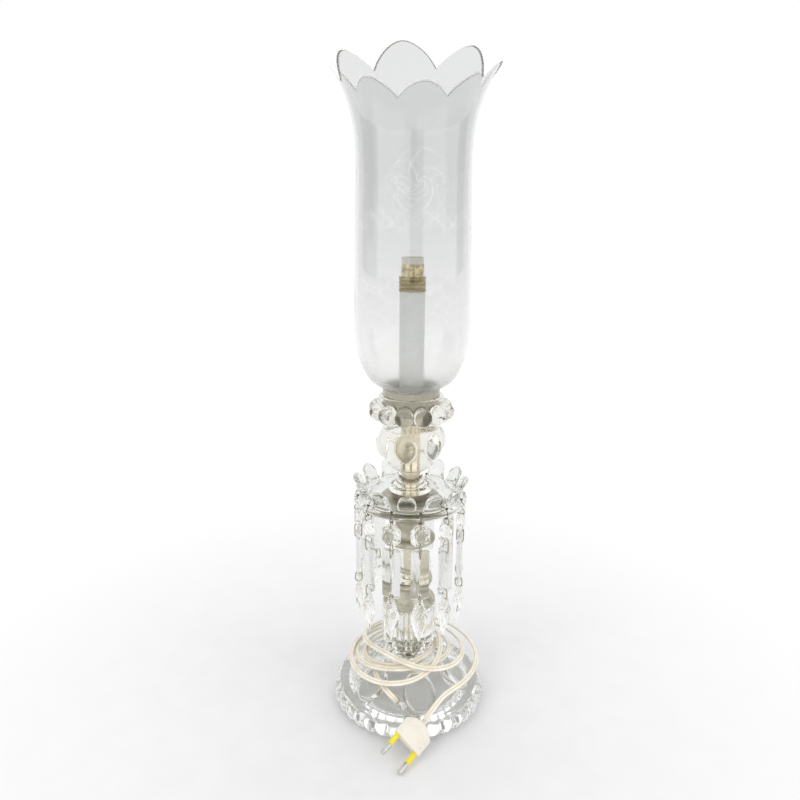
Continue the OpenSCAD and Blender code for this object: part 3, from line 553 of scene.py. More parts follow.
def rotation(degrees):
    """Matrix that turns about X, then Y, then Z."""
    x, y, z = np.radians(degrees)
    rx = np.array([[1, 0, 0], [0, math.cos(x), -math.sin(x)], [0, math.sin(x), math.cos(x)]])
    ry = np.array([[math.cos(y), 0, math.sin(y)], [0, 1, 0], [-math.sin(y), 0, math.cos(y)]])
    rz = np.array([[math.cos(z), -math.sin(z), 0], [math.sin(z), math.cos(z), 0], [0, 0, 1]])
    return rz @ ry @ rx


PLUG_AXES = rotation(PLUG_TURN)
PLUG_REAR = PLUG_AT + PLUG_AXES @ np.array([0, PLUG_L, 0])


def frames(path, ways):
    """Tangent, broad side's way and edge's way at each point of a path."""
    t = unit(np.gradient(path, axis=0))
    n = unit(ways - (ways * t).sum(-1, keepdims=True) * t)
    return t, n, np.cross(t, n)


def flex(name, path, ways):
    """Flat twin flex along a path: its section at angle q is (half width cos q, half thickness
    sin q), pinched at the middle. Gives the piece and its length in metres."""
    sides = 20
    t, normal, edge = frames(path, ways)
    q = np.arange(sides) * TAU / sides
    across = np.sign(np.cos(q)) * np.abs(np.cos(q)) ** 0.8 * CORD_W / 2
    pinch = 0.8 + 0.2 * np.clip(np.abs(across) / (CORD_W * 0.25), 0, 1) ** 1.5
    thick = np.sin(q) * pinch * CORD_T / 2
    grid = path[:, None] + edge[:, None] * across[None, :, None] + normal[:, None] * thick[None, :, None]
    piece = skin(name, grid, wrap_rows=False, caps=True)
    length = float(np.linalg.norm(np.diff(path, axis=0), axis=1).sum()) * MM
    add_strip_uv(piece, len(path), sides, length)
    return piece, length


def make_inner_lead():
    """Flex from the lampholder's floor down the threaded tube and through the hollow of the foot,
    up to the drilled hole. Its broad side turns from the tube's front to the dome's slope."""
    under = [
        (0, 0, ROD_Z + 3), (0, -0.2, ROD_Z - 1), (0, -2, ROD_Z - 7), (-1, -7, ROD_Z - 12), (-2, -15, 11),
        (-3, -24, 9.6), (-4, -32, 9.8), (-5.4, -38.5, 12),
    ]
    bend = spline(np.vstack([under, HOLE - 9 * HOLE_WAY, HOLE - CORD_W * HOLE_WAY]), 4)
    drop = np.stack([np.zeros(12), np.zeros(12), np.linspace(ROD_TOP, ROD_Z + 20, 12)], -1)
    path = np.vstack([drop, bend, HOLE - 2.1 * HOLE_WAY])
    f = ease((np.arange(len(path)) / (len(path) - 1) - 0.5) / 0.5)[:, None]
    ways = np.array([1, 0, 0.2]) * (1 - f) + facing(HOLE[None, :]) * f
    piece, _ = flex("inner_flex", path, ways)
    place(piece, LAMP, CORD, "cord_cover", "inner_lead")


def make_cord():
    """Free flex from the drilled hole: lead, loose winding and tail in one tube."""
    per_turn = 72
    count = int(WINDING_TURNS * per_turn)
    coil = winding(np.linspace(0, WINDING_TURNS, count + 1))
    spans = int(np.ceil(WINDING_TURNS * 24))
    coarse = winding(np.linspace(0, WINDING_TURNS, spans + 1))
    into, away = unit(coarse[1] - coarse[0]), unit(coarse[-1] - coarse[-2])
    lead = spline(np.vstack([HOLE + CORD_W * HOLE_WAY, LEAD, coil[0] - CORD_W * into]), 8)
    tail = spline(
        np.vstack([coil[-1] + CORD_W * away, TAIL, PLUG_REAR + PLUG_AXES @ np.array([0, CORD_W, 0])]), 8
    )
    start = np.vstack([HOLE - 2.0 * HOLE_WAY, HOLE, HOLE + 0.5 * CORD_W * HOLE_WAY])
    end = np.vstack([PLUG_REAR, PLUG_REAR - PLUG_AXES @ np.array([0, 1.2, 0])])
    path = np.vstack([start, lead, coil, tail, end])
    n = len(path)
    ways = facing(path)
    last = len(tail) + len(end)
    f = np.zeros(n)
    f[n - last:] = ease((np.arange(last) / last - 0.7) / 0.3)
    ways = ways * (1 - f[:, None]) + (PLUG_AXES @ np.array([0, 0, 1.0]))[None, :] * f[:, None]
    piece, length = flex("cord", path, ways)
    place(piece, LAMP, CORD, "cord_cover", "cord_lead", "cord_winding", "cord_tail")
    return piece, path, length


def plug_space(points):
    """Points of the plug's own axes, pins along -Y, brought to where it leans."""
    return np.asarray(points, float) @ PLUG_AXES.T + PLUG_AT


def make_plug():
    """Plug body: a six-sided section with soft edges carried from its front to its rounded rear.
    The section shrinks over the first and last stretch, and the rear bows out by a parabola."""
    half = PLUG_W / 2
    flat = half - 4.4
    side = PLUG_T * 0.25
    corner = [(-half, -side, 0.5), (-flat, -PLUG_T / 2, 0.6), (flat, -PLUG_T / 2, 0.6), (half, -side, 0.5),
              (half, side, 0.5), (flat, PLUG_T / 2, 0.6), (-flat, PLUG_T / 2, 0.6), (-half, side, 0.5)]
    section = dense(rounded(corner, 6), 1.2)
    along = np.concatenate([[0, 0.25, 0.7], np.linspace(1.4, 18.4, 14), [19.2, 19.7, 20.0]])
    shrink = np.concatenate([[0.93, 0.975, 0.995], np.ones(14), [0.985, 0.95, 0.86]])
    x = section[:, 0] * shrink[:, None]
    z = section[:, 1] * shrink[:, None]
    bow = 1 - 0.26 * (x / half) ** 2
    y = along[:, None] * bow
    body = skin("plug_shell", plug_space(np.stack([x, y, z], -1)), wrap_rows=False, caps=True)
    place(body, LAMP, PLUG_PLASTIC, "plug_plastic", "plug_body")
    pins = []
    for side_name, x0 in (("left", -9.3), ("right", 9.3)):
        for part, a, b, r, material in (
            ("sleeve", 0.0, 9.5, 2.0, SLEEVE_YELLOW), ("tip", 9.5, 18.9, 1.85, PIN_METAL)
        ):
            cap = 0.25 if part == "sleeve" else 1.0
            s = np.array([a, a, a + 0.2, b - cap, b - cap * 0.3, b])
            rr = np.array([0.05, r * 0.96, r, r, r * 0.86, r * 0.6 if part == "tip" else r * 0.9])
            turn = np.arange(32) * TAU / 32
            grid = np.stack([
                x0 + rr[:, None] * np.cos(turn), -s[:, None] + 0 * turn, rr[:, None] * np.sin(turn)
            ], -1)
            pin = skin(f"plug_{part}_{side_name}", plug_space(grid), wrap_rows=False, caps=True)
            place(pin, LAMP, material, "pin_metal", "plug_pins")
            pins.append(pin)
    return [body] + pins


cord, cord_path, cord_length = make_cord()
plug_pieces = make_plug()

# glass of the foot and stem


def foot_shape(r, z, turn):
    """Outer dome with raised ovals, each domed and steep at its edge, with a groove round it, and a
    half ellipsoid swelling the wall under it. The rim's radius about its own centre line
    follows half an ellipse, once for each bead."""
    on_dome = ease((1.2 - np.abs(z - dome_z(r))) / 0.6) * (r > 15) * (r < 58.5)
    d = nearest_turn(turn, 12.7, 6)
    w = r * np.sin(d)
    u = (r * np.cos(d) - 41) / math.cos(SLOPE_ANGLE)
    q = (w / 11) ** 2 + (u / 14) ** 2
    lift = 1.85 * np.clip(1 - q, 0, 1) ** 0.6 - 2.0 * np.exp(-(((np.sqrt(q) - 1.12) / 0.11) ** 2))
    lift = lift * on_dome
    r2 = r + lift * math.sin(SLOPE_ANGLE)
    z2 = z + lift * math.cos(SLOPE_ANGLE)
    under = ease((1.2 - np.abs(z - dome_z(r) + UNDER_DROP)) / 0.6) * (r > 17.5) * (r < 45.5)
    u = (r * np.cos(d) - 36.3) / math.cos(SLOPE_ANGLE)
    sag = 2.4 * np.sqrt(np.clip(1 - (w / 10) ** 2 - (u / 12) ** 2, 0, 1)) * under
    r2, z2 = r2 - sag * math.sin(SLOPE_ANGLE), z2 - sag * math.cos(SLOPE_ANGLE)
    dr, dz = r - 57.5, z - 8
    about = np.hypot(dr, dz)
    on_rim = (np.abs(about - 7.5) < 0.15) & (r > 58.5)
    b = nearest_turn(turn, 0, 36)
    bead = np.sqrt(np.maximum(1 - (57.5 * b / 6.7) ** 2, 0.02))
    r2 = np.where(on_rim, 57.5 + dr * bead, r2)
    z2 = np.where(on_rim, 8 + dz * bead, z2)
    return r2, z2


def foot_step(r, z):
    """Longest side of the foot's profile: short over the ovals and the beads, long below."""
    fall = z - dome_z(r)
    under = np.where((np.abs(fall + UNDER_DROP) < 1) & (r < 45.5), 1.2, 3.5)
    return np.where((np.abs(fall) < 1) & (r > 24), 0.85, np.where(r > 58.5, 1.1, under))


def drill(piece, start, end, radius):
    """Round hole cut through a piece from start to end, by a tube of 28 sides."""
    along = unit(end - start)
    side = unit(np.cross(along, (0, 0, 1.0)))
    turn = np.arange(28)[:, None] * TAU / 28
    ring = radius * (np.cos(turn) * side + np.sin(turn) * np.cross(along, side))
    cutter = skin("cutter", np.stack([start + ring, end + ring]), wrap_rows=False, smooth=False, caps=True)
    cut = piece.modifiers.new("drill", "BOOLEAN")
    cut.object, cut.operation, cut.solver = cutter, "DIFFERENCE", "MANIFOLD"
    finished = bpy.data.meshes.new_from_object(piece.evaluated_get(bpy.context.evaluated_depsgraph_get()))
    piece.modifiers.clear()
    piece.data = finished
    bpy.data.objects.remove(cutter)


def make_foot():
    rim = [(57.5 + 7.5 * math.cos(a), 8 + 7.5 * math.sin(a), 0.2) for a in np.radians(np.arange(64, -65, -6))]
    profile = (
        [(5.3, 48 - AIR, 0.3), (14, 48 - AIR, 1.0), (54, 19, 1.2), (58.6, 17.2, 0.8), (60.2, 15.4, 0.4)]
        + rim
        + [(59.6, 1.0, 0.4), (58, AIR, 0.5), (46, AIR, 1.2), (46, 14.9, 4), (16.9, 36 + AIR, 3),
           (5.3, 36 + AIR, 0.3)]
    )
    foot = turned("foot_glass", profile, 432, foot_step, foot_shape, steps=3)
    drill(foot, HOLE - 14 * HOLE_WAY, HOLE + 8 * HOLE_WAY, HOLE_R)
    place(foot, LAMP, foot_glass(), "clear_glass", "foot")


def flute_shape(r, z, turn):
    """Twelve hollow flutes, each a circle's arc cut into the outer wall and fading at its foot."""
    d = nearest_turn(turn, 0, 12)
    t = 24.0 * np.sin(d)
    depth = np.maximum(0, np.sqrt(np.maximum(16 - t * t, 0)) - 2.5)
    outer = (r > 15) & (z < 90.9)
    return r - depth * ease((z - 52) / 5) * outer * ease((r - 15) / 5), z


def make_stem_glass():
    lobes = [(13 + 10 * math.sin(a), 49 + 9 * (1 - math.cos(a)), 1.0) for a in np.radians(np.arange(0, 91, 15))]
    profile = (
        [(5.3, 48 + AIR, 0.2), (12.6, 48 + AIR, 0.4)] + lobes
        + [(23, 88.8, 1.5), (20.8, 91 - AIR, 1.0), (5.3, 91 - AIR, 0.2)]
    )
    baluster = turned("baluster_glass", profile, 384, 1.4, flute_shape)
    place(baluster, LAMP, CLEAR, "clear_glass", "baluster")
    f = np.linspace(0, 1, 11)
    waist = [(13.5 + 2.2 * (2 * g - 1) ** 2, 117 + 27 * g, 1.0) for g in f]
    profile = (
        [(5.3, 113 + AIR, 0.2), (15.7, 113 + AIR, 0.5), (16.5, 113.8, 0.5), (16.5, 116.2, 0.5)]
        + waist
        + [(16.5, 144.8, 0.5), (16.5, 147.2, 0.5), (15.7, 148 - AIR, 0.5), (5.3, 148 - AIR, 0.2)]
    )
    spool = turned("spool_glass", profile, 144, 1.6)
    place(spool, LAMP, CLEAR, "clear_glass", "stem_spool")


def make_brass():
    profile = [
        (5.3, 91 + AIR, 0.2), (22, 91 + AIR, 0.3), (22, 93.2, 0.5), (20.8, 94.4, 0.4), (20.2, 95.4, 0.4), (18, 97.5, 1),
        (17, 100, 1), (17, 105, 1), (17.6, 108, 0.5), (18.2, 108.3, 0.3), (19.4, 110.6, 0.6),
        (19.4, 113 - AIR, 0.3), (5.3, 113 - AIR, 0.2),
    ]
    cap = turned("column_cap_brass", profile, 144, 1.5)
    place(cap, LAMP, AGED_BRASS, "aged_brass", "column_cap")
    a = np.radians(np.arange(0, 91, 15))
    low = [(12 + 6.4 * (1 - math.sin(b)), 152.6 + 9.3 * (1 - math.cos(b)), 1) for b in a]
    high = [(12 + 12 * g * g, 161.9 + 17.1 * g, 1) for g in np.linspace(0.15, 1, 7)]
    profile = (
        [(5.3, 148 + AIR, 0.2), (20.4, 148 + AIR, 0.3), (21, 148.6, 0.3), (21, 150.6, 0.5), (19.6, 152, 0.4)]
        + low + high + [(24, 181, 0.3), (5.3, 181, 0.2)]
    )
    carrier = turned("dish_carrier_brass", profile, 144, 1.5)
    place(carrier, LAMP, AGED_BRASS, "aged_brass", "dish_carrier")


# the drip dish


def make_dish():
    """Plate and petals in one skin. Each petal has columns at offsets w across it, close together
    near its edges; its wall leans out with height, ends in a half circle across w and thins to
    nothing at its edges. The columns between petals lie flat."""
    half_w, thick, low, tip = 7.3, 4.6, 184.5, 204.0
    theta = np.linspace(-np.pi / 2, np.pi / 2, 25)
    w_petal = half_w * np.sin(theta) * 0.9995
    edge_turn = math.asin(half_w / 38.5)
    gap = np.linspace(edge_turn, TAU / 12 - edge_turn, 11)[1:-1]
    turn0 = math.radians(-3.5)
    w = np.concatenate([w_petal, np.zeros(len(gap))])
    plate_turn = np.concatenate([np.arcsin(w_petal / 38.5), gap])
    petal = np.concatenate([np.ones(len(w_petal)), np.zeros(len(gap))])
    top = np.where(petal > 0, tip - half_w + np.sqrt(np.maximum(half_w**2 - w**2, 0)) - thick / 2, 189.3)
    wall = thick * (1 - np.abs(w / half_w) ** 5) ** 0.5
    wall = np.where(petal > 0, np.maximum(wall, 0.3), thick)
    f_low = (189.0 - low) / (tip - low)
    f_top = np.where(petal > 0, (top - low) / (tip - low), f_low)

    def middle(f):
        return 37.5 + 7 * f**2 + 2 * f

    rows_r, rows_z, rows_turn = [], [], []

    def add(r, z, by_offset):
        r = np.broadcast_to(np.asarray(r, float), w.shape)
        z = np.broadcast_to(np.asarray(z, float), w.shape)
        own = np.where(petal > 0, np.arcsin(np.clip(w / r, -1, 1)), plate_turn)
        rows_r.append(r)
        rows_z.append(z)
        rows_turn.append(own if by_offset else plate_turn)

    for r, z in ((5.3, 189 - AIR), (16, 189 - AIR), (26, 189 - AIR), (32, 189.0), (34.4, 189.05)):
        add(r, z, False)
    for a in np.linspace(0, 1, 12):
        f = f_low + a * (f_top - f_low)
        foot = 0.9 * (1 - a) ** 6 * petal
        add(middle(f) - wall / 2 - foot, low + f * (tip - low), True)
    for b in np.linspace(0, np.pi, 9)[1:-1]:
        rise = thick / 2 * petal * np.minimum(1, wall / thick)
        add(middle(f_top) - wall / 2 * np.cos(b), low + f_top * (tip - low) + rise * np.sin(b), True)
    for a in np.linspace(1, 0, 12):
        f = f_low + a * (f_top - f_low)
        foot = 0.9 * (1 - a) ** 6 * petal
        add(middle(f) + wall / 2 + foot, low + f * (tip - low) - 0.3 * (1 - a), True)
    for r, z in (
        (43.6, 188.4), (44.8, 187.9), (45.6, 187.3), (46, 186.6), (46, 184.6), (45.6, 184.1), (45, 184),
        (41, 184), (37.6, 184), (36, 183.7), (28, 181.3), (26.4, 180.95),
        (16, 180.95), (5.3, 180.95),
    ):
        add(r, z, False)
    r, z, own = (np.array(q) for q in (rows_r, rows_z, rows_turn))
    turn = np.concatenate([own + turn0 + TAU * k / 12 for k in range(12)], 1)
    grid = round_stem(np.tile(r, 12), np.tile(z, 12), turn)
    dish = skin("drip_dish_glass", grid)
    place(dish, LAMP, DISH_GLASS, "clear_glass", "drip_dish")


# the candle cup


def boss_radius(turn_off, dz, centre, across, deep, high, power):
    """Distance from the stem of a domed boss: centre + deep (1 - q)^power, where q is the square of
    the way from its middle to its edge, and 0 outside it. A low power gives a flat top."""
    q = (centre * np.sin(turn_off) / across) ** 2 + (dz / high) ** 2
    return np.where(q < 1, centre + deep * np.maximum(1 - q, 0) ** power, 0)


RECESS_R, RECESS_Z = 22.5, 252.6


def cup_shape(r, z, turn):
    """Body of the cup, out to its six oval cabochons and twelve round knobs where these reach
    further than the plain wall. The wall and floor of the gallery's recess stay as they are."""
    recess = (r < RECESS_R + 0.3) & (z > RECESS_Z - 0.1)
    outer = (r > 12) & (z > 205) & (z < 271) & ~recess
    boss = boss_radius(nearest_turn(turn, -10, 6), z - 233.4, 21.6, 8.8, 7.2, 11.3, 0.5)
    knob = boss_radius(nearest_turn(turn, -11, 12), z - 259.6, 25.6, 6.9, 8.4, 7.6, 0.5)
    return np.where(outer, np.maximum(r, np.maximum(boss, knob)), r), z


def make_cup():
    a = np.radians(np.arange(0, 91, 18))
    bell = [(9.4 + 5.8 * (1 - math.sin(b)), 196.6 + 10.4 * (1 - math.cos(b)), 0.8) for b in a]
    b = np.radians(np.arange(10, 91, 10))
    bowl = [(9.4 + 14 * math.sin(c), 210 + 23 * (1 - math.cos(c)), 1) for c in b]
    profile = (
        [(4.95, 192 + AIR, 0.2), (16.5, 192 + AIR, 0.5), (17.6, 192.9, 0.6), (16.5, 196, 0.4)]
        + bell + [(9.4, 210, 1)] + bowl
        + [(23.4, 243, 1), (22, 245, 0.6), (23, 249, 1), (25.4, 270.6, 0.5), (24.8, 271.6, 0.4),
           (RECESS_R, 271.6, 0.3), (RECESS_R, RECESS_Z - AIR, 0.6), (4.95, RECESS_Z - AIR, 0.2)]
    )
    cup = turned("candle_cup_glass", profile, 432, 1.0, cup_shape, steps=3)
    place(cup, LAMP, CUP_GLASS, "clear_glass", "candle_cup")


# the shade

SHADE_SEAT, SHADE_H, SHADE_WALL = 270.0, 240.0, 2.0
PETAL_R, PETAL_POWER = 23.2, 1.75


def shade_radius(z):
    """Outer radius of the shade at a height over its seat, read off its smoothed side line."""
    belly_a = np.radians(np.linspace(0, 90, 12))
    neck = 8.3
    points = (
        [(0, 21.0), (neck, 21.0)]
        + [(neck + 0.8 + 47 * (1 - math.cos(a)), 22.2 + 21.4 * math.sin(a)) for a in belly_a]
        + [(85, 43.5), (120, 42.8), (160, 41.75), (175, 41.7)]
        + [(170 + 70 * f, 41.7 + 19.5 * f**2.6) for f in np.linspace(0.15, 1.04, 16)]
    )
    p = np.array(points)
    return np.interp(z, p[:, 0], p[:, 1])


def make_shade():
    """Thin wall of glass: its side line is carried up to a height that falls between the petals,
    where each petal's edge is a curve |w|^p + |h|^p = R^p across, a little more pointed than a
    circle. The wall ends in a half circle, and its ground edge is a thin crescent over that."""
    columns, rows = 320, 104
    turn = math.radians(-7.5) + np.arange(columns) * TAU / columns
    off = nearest_turn(turn, -7.5, 8)
    top = np.full(columns, SHADE_H)
    for _ in range(12):
        across = np.abs(shade_radius(top) * np.sin(off)) / PETAL_R
        rise = np.maximum(1 - across**PETAL_POWER, 0) ** (1 / PETAL_POWER)
        top = SHADE_H - PETAL_R + PETAL_R * rise
    s = np.linspace(0, 1, rows)[:, None] ** 0.9
    z = AIR + s * (top - 1.9 - AIR)
    outer_r = sum(shade_radius(np.clip(z + shift, 0, SHADE_H * 1.02)) for shift in (-1.5, 0.0, 1.5)) / 3
    outer_r = np.where(z < 10.5, shade_radius(z), outer_r)
    slope = np.gradient(outer_r, axis=0) / np.maximum(np.gradient(z, axis=0), 1e-6)
    slope = np.where(z < 9.5, 0, slope)
    norm = np.sqrt(1 + slope**2)
    inner_r = np.maximum(outer_r - SHADE_WALL / norm, 19.0)
    inner_z = np.maximum(z + SHADE_WALL * slope / norm, AIR)
    inner_z = inner_z - (inner_z[-1] - z[-1]) * s**8
    half = (outer_r[-1] - inner_r[-1]) / 2
    middle = (outer_r[-1] + inner_r[-1]) / 2

    def over(q, wide, high):
        """Points of a half ellipse over the wall's end, wide times its half width."""
        return middle + wide * half * np.cos(q)[:, None], z[-1] + high * np.sin(q)[:, None]

    end_r, end_z = over(np.linspace(0, np.pi, 9)[1:-1], 1.0, 1.0)
    r = np.vstack([outer_r, end_r, inner_r[::-1]])
    height = np.vstack([z, end_z, inner_z[::-1]])
    wall = skin("shade_glass", round_stem(r, SHADE_SEAT + height, turn))
    lips = np.array([0.5, 0.49, 0.45])
    out_q = np.concatenate([-lips, np.linspace(-0.35, np.pi + 0.35, 13), np.pi + lips[::-1]])
    out_r, out_z = over(out_q, 1.4, 1.8)
    in_r, in_z = over(out_q[::-1], 0.95, 0.93)
    rim = skin("shade_ground_edge", round_stem(
        np.vstack([out_r, in_r]), SHADE_SEAT + np.vstack([out_z, in_z]), turn))
    return wall, rim


def ground_glass():
    """Unpolished edge of the shade: white, dull and fine-grained."""
    material, g, out = new_material("ground_edge")
    grain = noise(g, 2500.0, 2.0)
    bump = g.node("ShaderNodeBump", {"Strength": 0.3, "Distance": 0.0002, "Height": grain})
    shader = g.node("ShaderNodeBsdfPrincipled", {
        "Base Color": g.mix(g.span(grain, 0.3, 0.7), (0.93, 0.92, 0.88, 1), (0.99, 0.98, 0.95, 1)),
        "Roughness": g.span(grain, 0.2, 0.8, 0.35, 0.55),
        "Subsurface Weight": 0.4,
        "Subsurface Radius": (0.002, 0.002, 0.002),
        "Normal": bump.outputs[0],
    })
    g.put(out.inputs["Surface"], shader.outputs[0])
    return material


def etched_glass():
    """Thin glass with etched scrollwork: the pattern is drawn in turn and height round the shade,
    as spiral scrolls in a row of medallions with sprigs between them, and roughens the surface."""
    material, g, out = new_material("etched_shade")
    parts = g.node("ShaderNodeSeparateXYZ", {0: object_point(g)})
    x, y, z = parts.outputs
    turn = g.math("ARCTAN2", x, g.math("MULTIPLY", y, -1.0))

    def scrolls(centre_z, count, start, size, arms, hand):
        """Mask of count medallions: bands of a log spiral inside a disc, with a ring round it."""
        pitch = TAU / count
        shifted = g.math("ADD", turn, TAU - start + pitch / 2)
        local = g.math("SUBTRACT", g.math("MODULO", shifted, pitch), pitch / 2)
        u = g.math("DIVIDE", g.math("MULTIPLY", local, 0.0425), size)
        v = g.math("DIVIDE", g.math("SUBTRACT", z, centre_z), size)
        radius = g.math("SQRT", g.math("ADD", g.math("MULTIPLY", u, u), g.math("MULTIPLY", v, v)))
        angle = g.math("ARCTAN2", v, g.math("MULTIPLY", u, hand))
        log_r = g.math("LOGARITHM", g.math("ADD", radius, 0.02), math.e)
        wave = g.math("SINE", g.math("MULTIPLY_ADD", log_r, 3.2, g.math("MULTIPLY", angle, arms)))
        line = g.span(g.math("ABSOLUTE", g.math("MULTIPLY", wave, radius)), 0.1, 0.04)
        leaf = g.span(g.math("SINE", g.math("MULTIPLY_ADD", angle, 5.0, g.math("MULTIPLY", radius, 6.0))), 0.7, 0.9)
        leaf = g.math("MULTIPLY", leaf, g.span(radius, 0.45, 0.6))
        inside = g.span(radius, 1.0, 0.92)
        ring = g.span(g.math("ABSOLUTE", g.math("SUBTRACT", radius, 1.06)), 0.05, 0.02)
        drawn = g.math("MAXIMUM", line, g.math("MULTIPLY", leaf, 0.35))
        return g.math("MAXIMUM", g.math("MULTIPLY", drawn, inside), g.math("MULTIPLY", ring, 0.4))

    def sprigs(centre_z, count, start, size):
        """Mask of leaves in pairs, leaning forward, on a wavy stalk that runs round the shade."""
        stalk = g.math("MULTIPLY", g.math("SINE", g.math("MULTIPLY", turn, count)), size * 0.5)
        v = g.math("SUBTRACT", g.math("SUBTRACT", z, centre_z), stalk)
        line = g.span(g.math("ABSOLUTE", v), 0.0011, 0.0005)
        lean = g.math("MULTIPLY_ADD", g.math("ABSOLUTE", v), 260.0, start)
        leaf_u = g.math("SINE", g.math("MULTIPLY_ADD", turn, count * 3.0, lean))
        leaf = g.math("MULTIPLY", g.math("ABSOLUTE", leaf_u), size * 0.55)
        leaves = g.math("MULTIPLY", g.span(g.math("SUBTRACT", leaf, g.math("ABSOLUTE", v)), 0.0, 0.0008),
                        g.span(g.math("ABSOLUTE", leaf_u), 0.25, 0.5))
        return g.math("MAXIMUM", g.math("MULTIPLY", line, 0.8), g.math("MULTIPLY", leaves, 0.35))

    bands = [
        scrolls(0.428, 4, 0.12, 0.0195, 2.0, 1.0),
        scrolls(0.428, 8, 0.12 + TAU / 16, 0.0085, 1.0, -1.0),
        scrolls(0.332, 6, 0.3, 0.0135, 1.0, 1.0),
        sprigs(0.403, 8, 0.4, 0.011),
        sprigs(0.353, 6, 1.2, 0.012),
        sprigs(0.312, 6, 0.2, 0.009),
    ]
    mask = bands[0]
    for band in bands[1:]:
        mask = g.math("MAXIMUM", mask, band)
    frost = g.math("MULTIPLY", mask, g.span(noise(g, 160.0, 3.0), 0.35, 0.6, 0.2, 0.5))
    film = marks(g, 35.0, 0.5)
    haze = g.span(z, 0.279, 0.312, 0.6, 0.0)
    soft = g.math("MAXIMUM", g.math("MAXIMUM", g.math("MULTIPLY", film, 0.2), g.math("MULTIPLY", frost, 0.4)), haze)
    clear = g.mix(g.span(z, 0.31, 0.43), (0.92, 0.925, 0.92, 1), (0.79, 0.795, 0.795, 1))
    tone = g.mix(frost, clear, (1.0, 1.0, 1.0, 1))
    tone = g.mix(haze, tone, (1.0, 1.0, 0.98, 1))
    bump = g.node(
        "ShaderNodeBump", {"Strength": 0.25, "Distance": 0.0005, "Height": noise(g, 22.0, 2.0)}
    )
    shader = g.node(
        "ShaderNodeBsdfPrincipled",
        {
            "Base Color": tone,
            "Roughness": g.span(soft, 0.0, 1.0, 0.01, 0.55),
            "IOR": 1.48,
            "Transmission Weight": 1.0,
            "Normal": bump.outputs[0],
        },
    )
    lit_through(g, out, shader.outputs[0], 0.97, (0.97, 0.97, 0.97, 1))
    return material


def make_gallery_and_holder():
    profile = [
        (5.3, 268, 0.2), (21.3, 268, 0.4), (21.3, 252.6, 0.3), (22.4, 252.6, 0.3), (22.4, 277, 0.3),
        (22.8, 277.2, 0.3), (22.8, 278, 0.3), (21.3, 278, 0.3), (21.3, 270 - AIR, 0.4),
        (5.3, 270 - AIR, 0.2),
    ]
    gallery = turned("gallery_ring", profile, 144, 2.0)
    place(gallery, LAMP, GALLERY_METAL, "gallery_metal", "gallery")
    for name, material in (("holder_ring", SHADED_BRASS), ("holder_shell", BRIGHT_BRASS),
                           ("holder_insulator", INSULATOR), ("holder_contacts", BRIGHT_BRASS),
                           ("stem_tube", TUBE_BRASS), ("stem_fasteners", TUBE_BRASS),
                           ("dish_pins", DARK_WIRE), ("cup_washer", WASHER)):
        dress(name, material)


def dress(name, material):
    """New material on a CAD node that stays as it is."""
    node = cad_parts[name]
    node.data.materials.clear()
    node.data.materials.append(material)


def candle_material():
    """Candle tube of pale mottled glass: thin, cloudy, a little green."""
    material, g, out = new_material("mottled_candle")
    cloud = g.span(noise(g, 420.0, 4.0), 0.35, 0.65)
    bump = g.node("ShaderNodeBump", {"Strength": 0.2, "Distance": 0.0006, "Height": noise(g, 300.0, 3.0)})
    shader = g.node(
        "ShaderNodeBsdfPrincipled",
        {
            "Base Color": g.mix(cloud, (0.93, 0.94, 0.91, 1), (0.985, 0.99, 0.975, 1)),
            "Roughness": g.span(cloud, 0.0, 1.0, 0.3, 0.5),
            "Transmission Weight": 0.25,
            "IOR": 1.5,
            "Normal": bump.outputs[0],
        },
    )
    lit_through(g, out, shader.outputs[0], 0.5, (0.9, 0.92, 0.88, 1))
    return material


# crystal chains

CHAIN_R, CHAIN_TURN, CHAINS = 43.0, 10.8, 12
LINK_R, WIRE_R, DRILL_R = 2.8, 0.42, 1.15
SAG = LINK_R - math.sqrt(LINK_R**2 - 4.0)
DROP_SAG = LINK_R - math.sqrt(LINK_R**2 - 3.5**2 / 4)
EYE_Z = 184 - 1.3 - 0.4 - 0.05
RING_Z = EYE_Z - 1.3 + 0.4 + WIRE_R + 0.1 - LINK_R
BEAD_TOP = RING_Z - LINK_R + SAG / 2 + 3
BEAD_LOW_DRILL = BEAD_TOP - 15
BEAD_LINK = BEAD_LOW_DRILL + SAG / 2 - LINK_R
PRISM_TOP = BEAD_TOP - 18 - 2.7
PRISM_DRILL = PRISM_TOP - 6.3
PRISM_LOW = PRISM_TOP - 41.8
PRISM_LOW_DRILL = PRISM_LOW + 3.2
PRISM_LINK = PRISM_LOW_DRILL + SAG / 2 - LINK_R
DROP_TOP = PRISM_LOW - 1.4
DROP_DRILL = DROP_TOP - 3.5


def octagon_line(half_w, half_h, cut):
    """Corners of a rectangle with its corners cut off, in x and z."""
    return np.array([
        (-half_w + cut, half_h), (half_w - cut, half_h), (half_w, half_h - cut), (half_w, -half_h + cut),
        (half_w - cut, -half_h), (-half_w + cut, -half_h), (-half_w, -half_h + cut), (-half_w, half_h - cut),
    ])


def bead_grid():
    """Rings of the octagon bead from its front table to its back one. Crown rings sit half a
    step round between the girdle's corners, so that the sides break into kites."""
    girdle = octagon_line(7.5, 9.0, 4.35)
    half = (girdle + np.roll(girdle, -1, 0)) / 2
    table = octagon_line(3.3, 4.0, 1.9)
    rings = [(table, -3.2), (half * 0.76, -2.15), (girdle, -0.55), (girdle, 0.55), (half * 0.76, 2.15), (table, 3.2)]
    return np.array([np.stack([p[:, 0], np.full(8, y), p[:, 1]], -1) for p, y in rings]) + (0, 0, BEAD_TOP - 9)


